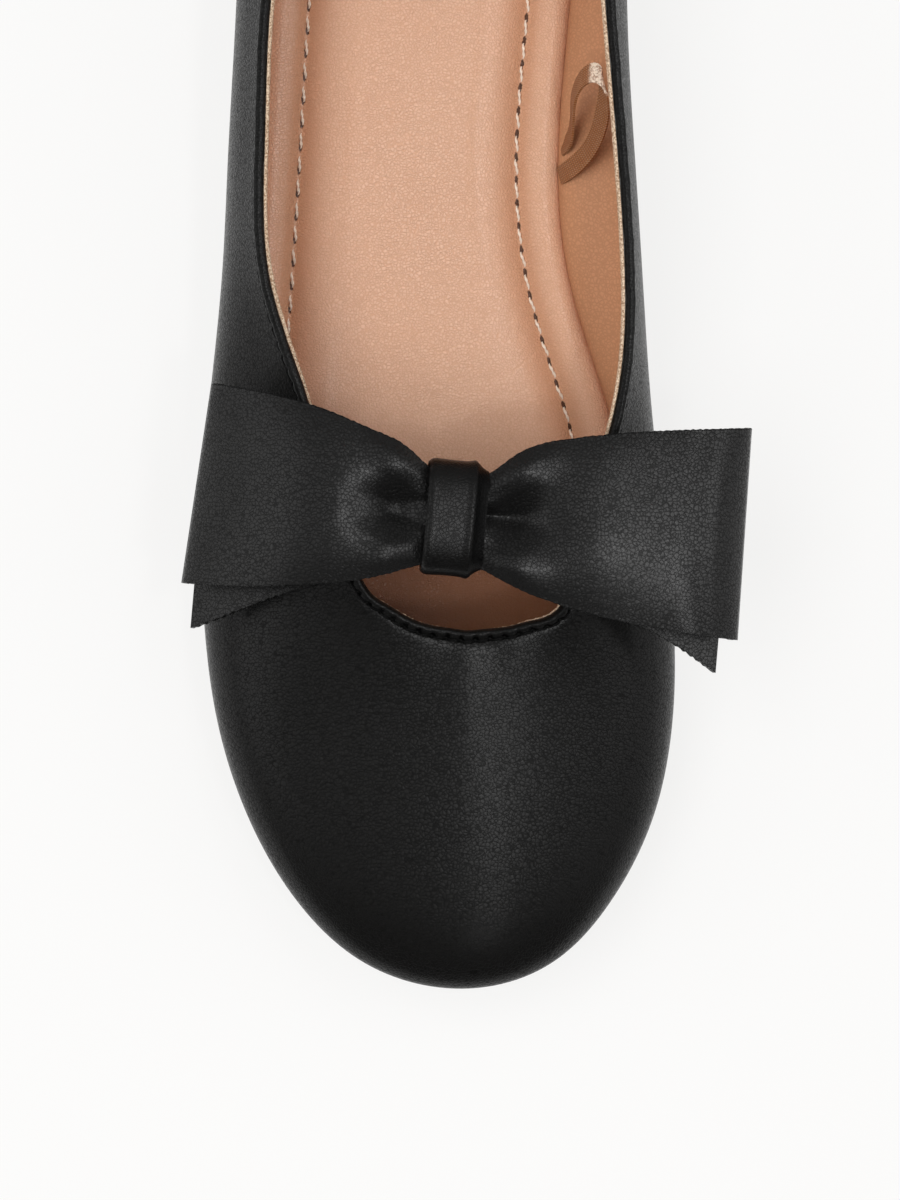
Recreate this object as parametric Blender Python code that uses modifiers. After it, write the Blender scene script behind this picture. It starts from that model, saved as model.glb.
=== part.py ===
"""A right ballet flat with a flat leather bow, standing on its sole.

Metres, +Z up, toe towards -Y, inner (medial) side towards +X. The origin is on the floor under
the middle of the heel. The shoe is worked out from its length, ball width, instep height and
back height: a table gives one row for each wall profile round the foot, and a closed spline
through the rows makes the wall between them.
"""

import math

import bmesh
import bpy
import numpy as np
from mathutils import Vector
from mathutils.bvhtree import BVHTree

# Shoe
SHOE_LENGTH = 0.250
BALL_WIDTH = 0.0842
INSTEP_HEIGHT = 0.036
BACK_HEIGHT = 0.061
UPPER_WALL = 0.0018
FIT_GAP = 0.0003

# Sole and heel
SOLE_THICKNESS = 0.0032
SOLE_MARGIN = 0.0006
SOLE_EDGE_ROUND = 0.0009
TOE_SPRING = 0.0085
HEEL_HEIGHT = 0.009
HEEL_TAPER = 0.0010
HEEL_BREAST_HOLLOW = 0.0025
HEEL_SEAT = 0.032
TREAD_FRONT = 0.205
TREAD_REAR = 0.345
HEEL_BREAST = 0.795
SEAT_START = 0.775

# Insole
INSOLE_RIM_HEIGHT = 0.0054
INSOLE_GROOVE_HEIGHT = 0.0030
INSOLE_PANEL_HEIGHT = 0.0047
INSOLE_STITCH_INSET = 0.0081
INSOLE_PANEL_INSET = 0.0128

# Topline binding
BINDING_WIDTH = 0.0028
BINDING_THICKNESS = 0.0008
BINDING_COVER = 0.0011

# Bow
BOW_LEATHER = 0.0011
RIBBON_WIDTH = 0.037
BOW_ALONG = 0.335
BOW_ACROSS = 0.0285
BOW_TURN = math.radians(-5.0)
MEDIAL_REACH = 0.0512
LATERAL_REACH = 0.0458
MEDIAL_FALL = 0.0050
LATERAL_FALL = 0.0165
MEDIAL_SLANT = 0.014
LATERAL_SLANT = 0.060
LOOP_FULLNESS = 0.0034
PUCKER_DEPTH = 0.0034
TAIL_MEDIAL_REACH = 0.0488
TAIL_LATERAL_REACH = 0.0435
TAIL_DROOP = 0.0022
KNOT_WIDTH = 0.0106
KNOT_DEPTH = 0.0202
KNOT_HEIGHT = 0.0108
KNOT_SINK = 0.0010

# Pull loop
TAPE_WIDTH = 0.0038
TAPE_THICKNESS = 0.0007
TAPE_ALONG = 0.596
TAPE_HEIGHT = 0.0270

# How finely the forms are cut
WALL_COLUMNS = 80
LOW_WALL_STEPS = 4
HIGH_WALL_STEPS = 8
SOLE_CROSS_STEPS = 4
RIBBON_CROSS_STEPS = 8
KNOT_STEPS = 24
KNOT_CROSS_STEPS = 4

# One row for each wall profile. Along is a share of SHOE_LENGTH from the toe tip, across a share
# of BALL_WIDTH from the shoe's axis. Foot is where the wall meets the sole, wide its furthest
# reach, top the topline. Wide rise is a share of INSTEP_HEIGHT above the foot, and top rise the
# share of the way from INSTEP_HEIGHT to BACK_HEIGHT. Shoulder is how far the wall goes straight
# up past its widest place, crown how far the top leads back outwards and drop how much it falls.
PROFILE_COLUMNS = (
    "foot_along", "foot_across", "wide_along", "wide_across", "wide_rise",
    "top_along", "top_across", "top_rise", "shoulder", "crown", "drop",
)
MEDIAL_PROFILES = (
    ("toe tip",       .0128, .086, .0000, .086, .29, .2537, .066, .00, .62, .50, .40),
    ("toe side",      .0300, .243, .0194, .266, .29, .2547, .102, .00, .62, .50, .39),
    ("toe corner",    .0692, .354, .0624, .389, .30, .2563, .148, .01, .60, .50, .37),
    ("big toe",       .1240, .437, .1200, .478, .32, .2603, .195, .02, .58, .50, .35),
    ("ball front",    .1940, .476, .1920, .522, .34, .2669, .251, .03, .56, .50, .33),
    ("ball",          .2640, .482, .2640, .523, .36, .2920, .292, .05, .52, .48, .31),
    ("ball rear",     .3400, .468, .3400, .500, .38, .3480, .332, .09, .47, .45, .30),
    ("waist front",   .4160, .430, .4160, .472, .41, .4175, .385, .16, .42, .40, .34),
    ("waist",         .5040, .347, .5040, .449, .45, .5021, .401, .24, .40, .35, .40),
    ("arch",          .5840, .315, .5840, .430, .47, .5896, .384, .30, .40, .33, .42),
    ("waist rear",    .6800, .330, .6800, .411, .46, .6691, .362, .38, .40, .30, .42),
    ("heel front",    .7800, .350, .7800, .403, .43, .7680, .334, .54, .40, .30, .42),
    ("heel side",     .8720, .338, .8760, .376, .41, .8600, .301, .76, .40, .30, .42),
    ("heel corner",   .9440, .262, .9540, .289, .41, .9340, .231, .94, .40, .30, .42),
    ("heel back",     .9860, .000, 1.000, .000, .42, .9760, .000, 1.0, .40, .30, .42),
)
LATERAL_PROFILES = (
    ("heel corner",   .9440, -.256, .9530, -.283, .41, .9340, -.229, .94, .40, .30, .42),
    ("heel side",     .8720, -.338, .8760, -.371, .40, .8600, -.301, .76, .40, .30, .42),
    ("heel front",    .7800, -.368, .7800, -.404, .39, .7680, -.337, .51, .40, .30, .42),
    ("waist rear",    .6800, -.386, .6800, -.419, .39, .6802, -.367, .33, .40, .30, .42),
    ("arch",          .5880, -.401, .5960, -.432, .39, .5961, -.375, .24, .40, .33, .42),
    ("waist",         .5040, -.416, .5100, -.444, .38, .5061, -.365, .18, .41, .36, .40),
    ("waist front",   .4160, -.438, .4160, -.471, .37, .4132, -.277, .13, .46, .42, .34),
    ("ball rear",     .3400, -.455, .3400, -.487, .36, .3460, -.224, .08, .50, .46, .30),
    ("ball",          .2640, -.447, .2640, -.481, .35, .2900, -.163, .04, .53, .48, .31),
    ("ball front",    .1940, -.416, .1920, -.453, .34, .2735, -.114, .03, .56, .50, .33),
    ("little toe",    .1240, -.348, .1200, -.384, .32, .2638, -.066, .02, .58, .50, .35),
    ("toe corner",    .0692, -.252, .0624, -.284, .30, .2578, -.018, .01, .60, .50, .37),
    ("toe side",      .0300, -.112, .0194, -.147, .29, .2553, .028, .00, .62, .50, .39),
)

# Loops of the bow: along is a share of the wing's reach, heelward and toeward its two edges as
# shares of RIBBON_WIDTH, fall a share of the wing's fall and fullness a share of LOOP_FULLNESS.
# A negative fall is a rise. Each slant says how much shorter the fold's heelward end is.
MEDIAL_WING = (
    (.00, .205, -.205, .00, .24),
    (.12, .232, -.232, .00, .32),
    (.20, .322, -.280, -.05, .62),
    (.34, .405, -.345, -.20, .88),
    (.48, .447, -.388, -.36, 1.0),
    (.75, .505, -.433, -.52, 1.0),
    (1.0, .550, -.457, .00, .80),
)
LATERAL_WING = (
    (.00, .205, -.205, .00, .24),
    (.13, .232, -.232, .00, .32),
    (.23, .313, -.275, .01, .60),
    (.34, .366, -.320, .04, .78),
    (.54, .446, -.365, .20, .90),
    (.74, .500, -.400, .50, .84),
    (1.0, .543, -.414, 1.0, .62),
)
MEDIAL_LOOP = (MEDIAL_WING, MEDIAL_REACH, MEDIAL_FALL, MEDIAL_SLANT, 1)
LATERAL_LOOP = (LATERAL_WING, LATERAL_REACH, LATERAL_FALL, LATERAL_SLANT, -1)

# Tails: along is a share of the tail's reach, and its two edges are shares of RIBBON_WIDTH.
MEDIAL_TAIL = (
    (.00, .205, -.205),
    (.13, .210, -.210),
    (.30, .270, -.300),
    (.55, .310, -.380),
    (.78, .340, -.465),
    (1.0, .370, -.620),
)
LATERAL_TAIL = (
    (.00, .205, -.205),
    (.13, .210, -.210),
    (.30, .265, -.285),
    (.46, .290, -.350),
    (.65, .320, -.425),
    (.86, .350, -.545),
    (1.0, .370, -.625),
)
# Gathers beside the knot: along is a share of RIBBON_WIDTH from the knot's middle, and depth a
# share of PUCKER_DEPTH.
GATHERS = (
    (.00, .10),
    (.16, .28),
    (.27, 1.0),
    (.40, .72),
    (.62, .14),
    (.85, .00),
    (2.0, .00),
)
VALLEY_HALF_WIDTH = 0.38
RIDGE_PLACE = 0.72
RIDGE_HALF_WIDTH = 0.28
RIDGE_SHARE = 0.35
LOOP_STATIONS = (0.0, .10, .15, .20, .26, .35, .48, .64, .80, .91, .97, 1.0)
FOLD_BLUNTNESS = 7.0
TAIL_STATIONS = (0.0, .10, .16, .21, .27, .37, .50, .66, .83, 1.0)

# Pull loop: height is a share of TAPE_HEIGHT above the insole, lean a share of it towards the
# heel, and off how far it stands from the lining as a share of TAPE_WIDTH.
TAPE_PATH = (
    (0.12, 0.00, 0.85),
    (0.32, 0.06, 1.05),
    (0.58, 0.18, 1.10),
    (0.80, 0.32, 0.80),
    (0.95, 0.44, 0.85),
    (1.00, 0.52, 1.40),
    (0.94, 0.50, 2.05),
    (0.74, 0.38, 2.45),
    (0.46, 0.22, 2.40),
    (0.22, 0.10, 1.60),
)

COLLECTION = "ballet_flat"


def clear_scene():
    for item in list(bpy.data.objects):
        bpy.data.objects.remove(item)


def material(name, colour, roughness, metallic=0.0):
    made = bpy.data.materials.new(name)
    made.use_nodes = True
    shader = made.node_tree.nodes["Principled BSDF"]
    shader.inputs["Base Color"].default_value = (*colour, 1.0)
    shader.inputs["Roughness"].default_value = roughness
    shader.inputs["Metallic"].default_value = metallic
    return made


def spline(knots, values, at, closed=False):
    """Cubic with continuous curvature through the values, read at the given parameters.

    A closed one repeats after a parameter of 1.
    """
    knots, values, at = (np.asarray(x, float) for x in (knots, values, at))
    flat = values.ndim == 1
    values = values.reshape(len(knots), -1)
    if closed:
        knots = np.append(knots, knots[0] + 1.0)
        values = np.vstack([values, values[:1]])
    count = len(knots)
    gaps = np.diff(knots)
    slopes = np.diff(values, axis=0) / gaps[:, None]
    system = np.eye(count)
    right = np.zeros_like(values)
    for i in range(1, count - 1):
        system[i, i - 1:i + 2] = gaps[i - 1], 2 * (gaps[i - 1] + gaps[i]), gaps[i]
        right[i] = 6 * (slopes[i] - slopes[i - 1])
    if closed:
        system[0] = 0
        system[0, [0, 1, -2]] = 2 * (gaps[-1] + gaps[0]), gaps[0], gaps[-1]
        right[0] = 6 * (slopes[0] - slopes[-1])
        system[-1, 0] = -1
    bends = np.linalg.solve(system, right)
    index = np.clip(np.searchsorted(knots, at, side="right") - 1, 0, count - 2)
    gap = gaps[index][:, None]
    before = (np.atleast_1d(at) - knots[index])[:, None]
    after = gap - before
    made = (
        (bends[index] * after**3 + bends[index + 1] * before**3) / (6 * gap)
        + (values[index] / gap - bends[index] * gap / 6) * after
        + (values[index + 1] / gap - bends[index + 1] * gap / 6) * before
    )
    return made[:, 0] if flat else made


def bezier(p0, p1, p2, p3, share):
    rest = 1 - share
    return rest**3 * p0 + 3 * rest**2 * share * p1 + 3 * rest * share**2 * p2 + share**3 * p3


def along_to_y(along):
    return along * SHOE_LENGTH - (SHOE_LENGTH - HEEL_SEAT)


def y_to_along(y):
    return (y + SHOE_LENGTH - HEEL_SEAT) / SHOE_LENGTH


def sole_lift(y):
    """Height of the outsole's underside: toe spring, flat tread, rise of the shank, heel seat."""
    along = y_to_along(np.asarray(y, float))
    front = np.clip((TREAD_FRONT - along) / TREAD_FRONT, 0, 1)
    rear = np.clip((along - TREAD_REAR) / (SEAT_START - TREAD_REAR), 0, 1)
    return TOE_SPRING * front**2 + HEEL_HEIGHT * rear**2 * (3 - 2 * rear)


def sole_top(y):
    return sole_lift(y) + SOLE_THICKNESS


def profiles(count):
    """The table's columns, smoothed to count profiles round the shoe, as a dictionary."""
    rows = np.array([row[1:] for row in MEDIAL_PROFILES + LATERAL_PROFILES])
    wide = rows[:, 2:4] * (SHOE_LENGTH, BALL_WIDTH)
    steps = np.linalg.norm(np.roll(wide, -1, axis=0) - wide, axis=1)
    half = len(MEDIAL_PROFILES) - 1
    medial, lateral = steps[:half], steps[half:]
    knots = np.concatenate([
        [0.0],
        np.cumsum(medial) / medial.sum() / 2,
        0.5 + np.cumsum(lateral)[:-1] / lateral.sum() / 2,
    ])
    smooth = spline(knots, rows, np.arange(count) / count, closed=True)
    return dict(zip(PROFILE_COLUMNS, smooth.T))


def placed(along, across, z):
    return np.stack([across * BALL_WIDTH, along_to_y(along), z], axis=1)


def wall_grid(count=WALL_COLUMNS):
    """Outer face of the upper: count profiles round the shoe, from the foot to the topline."""
    table = profiles(count)
    foot_z = sole_top(along_to_y(table["foot_along"])) + FIT_GAP
    wide_z = foot_z + table["wide_rise"] * INSTEP_HEIGHT
    top_z = INSTEP_HEIGHT + table["top_rise"] * (BACK_HEIGHT - INSTEP_HEIGHT)
    foot = placed(table["foot_along"], table["foot_across"], foot_z)
    wide = placed(table["wide_along"], table["wide_across"], wide_z)
    top = placed(table["top_along"], table["top_across"], top_z)
    up = np.array([0, 0, 1.0])
    low, high = wide_z - foot_z, top_z - wide_z
    flare = foot + 0.35 * (wide - foot) * (1, 1, 0) + np.outer(0.30 * low, up)
    under = wide - np.outer(0.45 * low, up)
    shoulder = wide + np.outer(table["shoulder"] * high, up)
    crown = top + table["crown"][:, None] * (wide - top) * (1, 1, 0)
    crown -= np.outer(table["drop"] * high, up)
    rows = [bezier(foot, flare, under, wide, s) for s in np.linspace(0, 1, LOW_WALL_STEPS + 1)]
    shares = np.linspace(0, 1, HIGH_WALL_STEPS + 1)[1:]
    rows += [bezier(wide, shoulder, crown, top, s) for s in shares]
    return np.stack(rows, axis=1)


def unit(vectors):
    return vectors / np.linalg.norm(vectors, axis=-1, keepdims=True)


def turn_in_plan(outline):
    """Outward directions in plan of a closed outline that runs anticlockwise from above."""
    tangent = np.roll(outline, -1, axis=0) - np.roll(outline, 1, axis=0)
    return unit(np.stack([tangent[:, 1], -tangent[:, 0]], axis=1))


def foot_outline():
    table = profiles(WALL_COLUMNS)
    return placed(table["foot_along"], table["foot_across"], 0 * table["foot_along"])[:, :2]


def ring(outline, outset, height):
    """A closed ring of points: the outline moved outwards, at the height that it is given."""
    plan = outline + outset * turn_in_plan(outline)
    return np.column_stack([plan, height(plan[:, 1])])


def link(name, mesh, finish):
    made = bpy.data.objects.new(name, mesh)
    made.data.materials.append(finish)
    bpy.data.collections[COLLECTION].objects.link(made)
    mesh.shade_smooth()
    mesh.set_sharp_from_angle(angle=math.radians(50))
    return made


def mesh_from(name, points, faces):
    made = bpy.data.meshes.new(name)
    made.from_pydata([tuple(p) for p in points], [], faces)
    made.validate()
    return made


def grid_faces(columns, rows, closed_columns, closed_rows):
    """Quads of a grid whose point (column, row) has the number column * rows + row."""
    faces = []
    for c in range(columns if closed_columns else columns - 1):
        for r in range(rows if closed_rows else rows - 1):
            d, s = (c + 1) % columns, (r + 1) % rows
            faces.append((c * rows + r, d * rows + r, d * rows + s, c * rows + s))
    return faces


def grid_object(name, grid, finish, closed_columns=False, closed_rows=False):
    columns, rows = grid.shape[:2]
    faces = grid_faces(columns, rows, closed_columns, closed_rows)
    return link(name, mesh_from(name, grid.reshape(-1, 3), faces), finish)


def thicken(item, thickness, offset):
    shell = item.modifiers.new("wall", "SOLIDIFY")
    shell.thickness = thickness
    shell.offset = offset
    shell.use_even_offset = True
    shell.use_rim = True


def stacked_solid(name, rings, height_below, height_above, finish):
    """A solid from closed rings, first to last from its underside round to its top.

    The first and last ring are closed by strips across the shoe, from each medial point to
    its lateral partner, whose heights follow the two functions of y.
    """
    count = len(rings[0])
    points = [p for r in rings for p in r]
    faces = []
    for level in range(len(rings) - 1):
        for k in range(count):
            n = (k + 1) % count
            low, high = level * count, (level + 1) * count
            faces.append((low + k, low + n, high + n, high + k))
    for level, height in ((0, height_below), (len(rings) - 1, height_above)):
        edge = rings[level]
        start = level * count
        rungs = [[start]]
        for k in range(1, count // 2):
            rung = [start + k]
            for step in range(1, SOLE_CROSS_STEPS):
                share = step / SOLE_CROSS_STEPS
                plan = edge[k] * (1 - share) + edge[count - k] * share
                rung.append(len(points))
                points.append((plan[0], plan[1], height(plan[1])))
            rungs.append([*rung, start + count - k])
        rungs.append([start + count // 2])
        strips = []
        for near, far in zip(rungs, rungs[1:]):
            for step in range(SOLE_CROSS_STEPS):
                if len(near) == 1:
                    strips.append((near[0], far[step], far[step + 1]))
                elif len(far) == 1:
                    strips.append((near[step], far[0], near[step + 1]))
                else:
                    strips.append((near[step], far[step], far[step + 1], near[step + 1]))
        faces += [face[::-1] for face in strips] if height is height_below else strips
    return link(name, mesh_from(name, points, faces), finish)


def make_upper(finish):
    upper = grid_object("upper", wall_grid(), finish, closed_columns=True)
    thicken(upper, UPPER_WALL, -1)


def topline_frames(grid):
    """Points of the topline with the wall's direction up and its direction outwards there."""
    top = grid[:, -1]
    rise = unit(top - grid[:, -2])
    run = unit(np.roll(top, -1, axis=0) - np.roll(top, 1, axis=0))
    return top, rise, unit(np.cross(run, rise))


def binding_grid(grid):
    """The folded strip over the topline: its outer flange, its rounded top and its short lip."""
    top, rise, out = topline_frames(grid)
    skin = FIT_GAP + BINDING_THICKNESS
    section = (
        (FIT_GAP, -BINDING_WIDTH),
        (0.85 * skin, -BINDING_WIDTH),
        (skin, -0.80 * BINDING_WIDTH),
        (skin, -0.10 * BINDING_WIDTH),
        (0.70 * skin, 0.75 * skin),
        (-0.20 * BINDING_COVER, skin),
        (-BINDING_COVER, 0.90 * skin),
        (-BINDING_COVER, FIT_GAP),
        (FIT_GAP, FIT_GAP),
    )
    return np.stack([top + n * out + t * rise for n, t in section], axis=1)


def make_binding(finish):
    strip = binding_grid(wall_grid())
    grid_object("topline_binding", strip, finish, closed_columns=True, closed_rows=True)


def make_outsole(finish):
    outline = foot_outline()
    full = SOLE_MARGIN
    rings = [
        ring(outline, full - 2 * SOLE_EDGE_ROUND, sole_lift),
        ring(outline, full - 0.6 * SOLE_EDGE_ROUND, lambda y: sole_lift(y) + 0.2 * SOLE_EDGE_ROUND),
        ring(outline, full, lambda y: sole_lift(y) + SOLE_EDGE_ROUND),
        ring(outline, full, lambda y: sole_top(y) - SOLE_EDGE_ROUND / 2),
        ring(outline, full - SOLE_EDGE_ROUND / 2, sole_top),
    ]
    stacked_solid("outsole", rings, sole_lift, sole_top, finish)


def make_heel(finish):
    """A low block under the heel seat, with a hollowed breast."""
    outline = foot_outline()
    full = outline + SOLE_MARGIN * turn_in_plan(outline)
    breast_y = along_to_y(HEEL_BREAST)
    seat = full[full[:, 1] > breast_y]
    ends = []
    for first, last in ((seat[0], -1), (seat[-1], 1)):
        index = int(np.argmin(np.linalg.norm(full - first, axis=1)))
        before = full[(index + last) % len(full)]
        share = (breast_y - before[1]) / (first[1] - before[1])
        ends.append(before + share * (first - before))
    hollow = []
    for share in np.linspace(0, 1, 9)[1:-1]:
        point = ends[1] * (1 - share) + ends[0] * share
        hollow.append(point + (0, HEEL_BREAST_HOLLOW * math.sin(math.pi * share)))
    plan = np.vstack([ends[0], seat, ends[1], hollow])
    taper = turn_in_plan(plan) * HEEL_TAPER
    count = len(plan)
    levels = (
        (-taper - taper / 2, 0.0),
        (-taper, SOLE_EDGE_ROUND / 2),
        (0 * taper, HEEL_HEIGHT - FIT_GAP),
    )
    points = np.vstack([np.column_stack([plan + move, np.full(count, z)]) for move, z in levels])
    faces = [tuple(range(count))[::-1], tuple(range(2 * count, 3 * count))]
    for level in range(2):
        for k in range(count):
            n = (k + 1) % count
            low, high = level * count, (level + 1) * count
            faces.append((low + k, low + n, high + n, high + k))
    link("heel", mesh_from("heel", points, faces), finish)


def make_insole(finish):
    """The padded sock: a rolled rim, the groove of its seam, and a puffed centre panel."""
    outline = foot_outline()
    edge = -(UPPER_WALL + 2 * FIT_GAP)

    def above(height):
        return lambda y: sole_top(y) + FIT_GAP + height

    roll = INSOLE_STITCH_INSET / 2
    rings = [
        ring(outline, edge - 0.0010, above(0)),
        ring(outline, edge, above(0.3 * INSOLE_RIM_HEIGHT)),
        ring(outline, edge - 0.12 * roll, above(0.72 * INSOLE_RIM_HEIGHT)),
        ring(outline, edge - 0.55 * roll, above(0.98 * INSOLE_RIM_HEIGHT)),
        ring(outline, edge - 1.15 * roll, above(0.93 * INSOLE_RIM_HEIGHT)),
        ring(outline, edge - INSOLE_STITCH_INSET, above(INSOLE_GROOVE_HEIGHT)),
        ring(outline, edge - INSOLE_PANEL_INSET, above(INSOLE_PANEL_HEIGHT)),
    ]
    stacked_solid("insole", rings, above(0), above(INSOLE_PANEL_HEIGHT), finish)


def wing_values(table, stations):
    rows = np.array(table)
    return np.moveaxis(spline(rows[:, 0], rows[:, 1:], np.ravel(stations)), 1, 0)


def gathers(along, across, heelward, toeward):
    """Height of the gathers beside the knot: a valley along the middle between two ridges.

    heelward and toeward are the edges of the loop at each place along it.
    """
    rows = np.array(GATHERS)
    share = np.clip(np.abs(along) / RIBBON_WIDTH, 0, rows[-1, 0])
    depth = spline(rows[:, 0], rows[:, 1], share.ravel()).reshape(share.shape)
    cross = 2 * across / RIBBON_WIDTH - (heelward + toeward)
    cross = cross / (heelward - toeward)
    valley = np.exp(-(cross / VALLEY_HALF_WIDTH)**2)
    ridge = RIDGE_SHARE * np.exp(-((np.abs(cross) - RIDGE_PLACE) / RIDGE_HALF_WIDTH)**2)
    return PUCKER_DEPTH * np.clip(depth, 0, None) * (ridge - valley)


def reach_share(across, slant):
    """Share of its reach that a loop has at each place across it, because its fold is aslant."""
    return 1 - slant * (0.5 + across / RIBBON_WIDTH)


def ribbon_plan(edges, distance, slant, side):
    """Points along and across a strip from its two edges, at each distance from the knot."""
    heelward, toeward = edges
    share = np.linspace(0, 1, RIBBON_CROSS_STEPS + 1)
    across = RIBBON_WIDTH * (toeward[:, None] * (1 - share) + heelward[:, None] * share)
    return side * distance[:, None] * reach_share(across, slant), across


def wing_height(wing, along, across, layer, closing=1.0):
    """Height of a loop's top (layer 1) or back (layer -1) above the knot's middle."""
    table, reach, fall, slant, _ = wing
    stations = np.abs(along) / (reach * reach_share(across, slant))
    values = wing_values(table, stations).reshape(4, *np.shape(along))
    heelward, toeward, falling, fullness = values
    middle = -fall * falling + layer * LOOP_FULLNESS * fullness * closing
    return middle + gathers(along, across, heelward, toeward)


def wing_layer(wing, stations, layer):
    """One layer of a loop in the bow's own frame: along, across and up from the knot's middle.

    The layers meet in the fold at the wing's end.
    """
    table, reach, _, slant, side = wing
    stations = np.asarray(stations)
    closing = np.sqrt(np.clip(1 - stations**FOLD_BLUNTNESS, 0, 1))[:, None]
    edges = wing_values(table, stations)[:2]
    along, across = ribbon_plan(edges, reach * stations, slant, side)
    return np.stack([along, across, wing_height(wing, along, across, layer, closing)], axis=2)


def loops_grid():
    """The strip that makes both loops, as a closed band round the path of its middle."""
    out, back = np.array(LOOP_STATIONS), np.array(LOOP_STATIONS[::-1])
    return np.concatenate([
        wing_layer(MEDIAL_LOOP, out, 1),
        wing_layer(MEDIAL_LOOP, back[1:-1], -1),
        wing_layer(LATERAL_LOOP, out, -1),
        wing_layer(LATERAL_LOOP, back[1:-1], 1),
    ])


def tail_half(wing, tail, tail_reach):
    """Half of the strip behind the loops: it fans out, lies under them and droops at its end."""
    side = wing[-1]
    stations = np.array(TAIL_STATIONS)
    rows = np.array(tail)
    edges = spline(rows[:, 0], rows[:, 1:], stations).T
    along, across = ribbon_plan(edges, tail_reach * stations, 0.0, side)
    back = wing_height(wing, along, across, -1)
    step = BOW_LEATHER / 2
    slope_along = (wing_height(wing, along + side * step, across, -1) - back) / step
    slope_across = (
        wing_height(wing, along, across + step, -1) - wing_height(wing, along, across - step, -1)
    ) / (2 * step)
    steepness = np.sqrt(1 + slope_along**2 + slope_across**2)
    below = (BOW_LEATHER + 2 * FIT_GAP) * steepness + TAIL_DROOP * (stations**2)[:, None]
    return np.stack([along, across, back - below], axis=2)


def tails_grid():
    medial = tail_half(MEDIAL_LOOP, MEDIAL_TAIL, TAIL_MEDIAL_REACH)
    lateral = tail_half(LATERAL_LOOP, LATERAL_TAIL, TAIL_LATERAL_REACH)
    return np.concatenate([lateral[::-1], medial[1:]])


def knot_grid():
    """The band round the middle of the bow, a rounded oblong that is a little waisted."""
    turn = np.arange(KNOT_STEPS) * 2 * math.pi / KNOT_STEPS
    squareness = 2 / 4.6
    across = np.sign(np.cos(turn)) * np.abs(np.cos(turn))**squareness * KNOT_DEPTH / 2
    up = np.sign(np.sin(turn)) * np.abs(np.sin(turn))**squareness * KNOT_HEIGHT / 2
    share = np.linspace(-1, 1, KNOT_CROSS_STEPS + 1)
    flare = 1 + 0.02 * share**2
    along = np.broadcast_to(KNOT_WIDTH / 2 * share, (KNOT_STEPS, len(share)))
    grid = [along, across[:, None] * flare, up[:, None] * flare - KNOT_SINK]
    return np.stack(grid, axis=2)


def bow_to_shoe(grid, lift, tilt):
    """From the bow's own frame to the shoe's, at a height of lift and rising by tilt along it."""
    cos, sin = math.cos(BOW_TURN), math.sin(BOW_TURN)
    along, across, up = np.moveaxis(grid, 2, 0)
    x = BOW_ACROSS * BALL_WIDTH + along * cos - across * sin
    y = along_to_y(BOW_ALONG) + along * sin + across * cos
    return np.stack([x, y, up + lift + tilt * along], axis=2)


def grid_tree(grid, closed_columns, closed_rows):
    columns, rows = grid.shape[:2]
    points = [Vector(p) for p in grid.reshape(-1, 3)]
    return BVHTree.FromPolygons(points, grid_faces(columns, rows, closed_columns, closed_rows))


def shortfalls(points, tree, direction, wanted):
    """How much further the points must be from the surface that they meet in a direction."""
    found = []
    for point in points:
        hit, normal = tree.ray_cast(Vector(point) - 2 * BACK_HEIGHT * direction, direction)[:2]
        if hit is not None:
            apart = (hit - Vector(point)).dot(direction)
            found.append((wanted / max(abs(normal.z), 0.45) - apart, point))
    return found


def seat_bow(loops, tails):
    """The lift and tilt at which the bow rests on both sides of the upper, one fit gap off."""
    wall = wall_grid()
    strip = binding_grid(wall)
    wall_tree, strip_tree = grid_tree(wall, True, False), grid_tree(strip, True, True)
    fixed = np.vstack([wall.reshape(-1, 3), strip.reshape(-1, 3)])
    lift, tilt = BACK_HEIGHT, 0.0
    up = Vector((0, 0, 1))
    wanted = 3.2 * FIT_GAP + BOW_LEATHER / 2
    for _ in range(8):
        worst = {1: (-1.0, 1.0), -1: (-1.0, -1.0)}
        found = []
        for grid, closed in ((loops, True), (tails, False)):
            seated = bow_to_shoe(grid, lift, tilt)
            found += shortfalls(fixed, grid_tree(seated, closed, False), up, wanted)
            for tree in (wall_tree, strip_tree):
                points = seated.reshape(-1, 3)
                found += shortfalls(points, tree, -up, wanted)
        for short, (x, y, _) in found:
            along = (x - BOW_ACROSS * BALL_WIDTH) * math.cos(BOW_TURN)
            along += (y - along_to_y(BOW_ALONG)) * math.sin(BOW_TURN)
            side = 1 if along > 0 else -1
            worst[side] = max(worst[side], (short, along))
        (short_in, at_in), (short_out, at_out) = worst[1], worst[-1]
        tilt_change = (short_in - short_out) / (at_in - at_out)
        tilt += tilt_change
        lift += short_in - tilt_change * at_in
    return lift, tilt


def make_bow(finish):
    loops, tails, knot = loops_grid(), tails_grid(), knot_grid()
    seat = seat_bow(loops, tails)
    for name, grid, closed_columns, offset in (
        ("bow_loops", loops, True, 0),
        ("bow_tails", tails, False, 0),
        ("bow_knot", knot, True, -1),
    ):
        item = grid_object(name, bow_to_shoe(grid, *seat), finish, closed_columns)
        thicken(item, BOW_LEATHER, offset)


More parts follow.
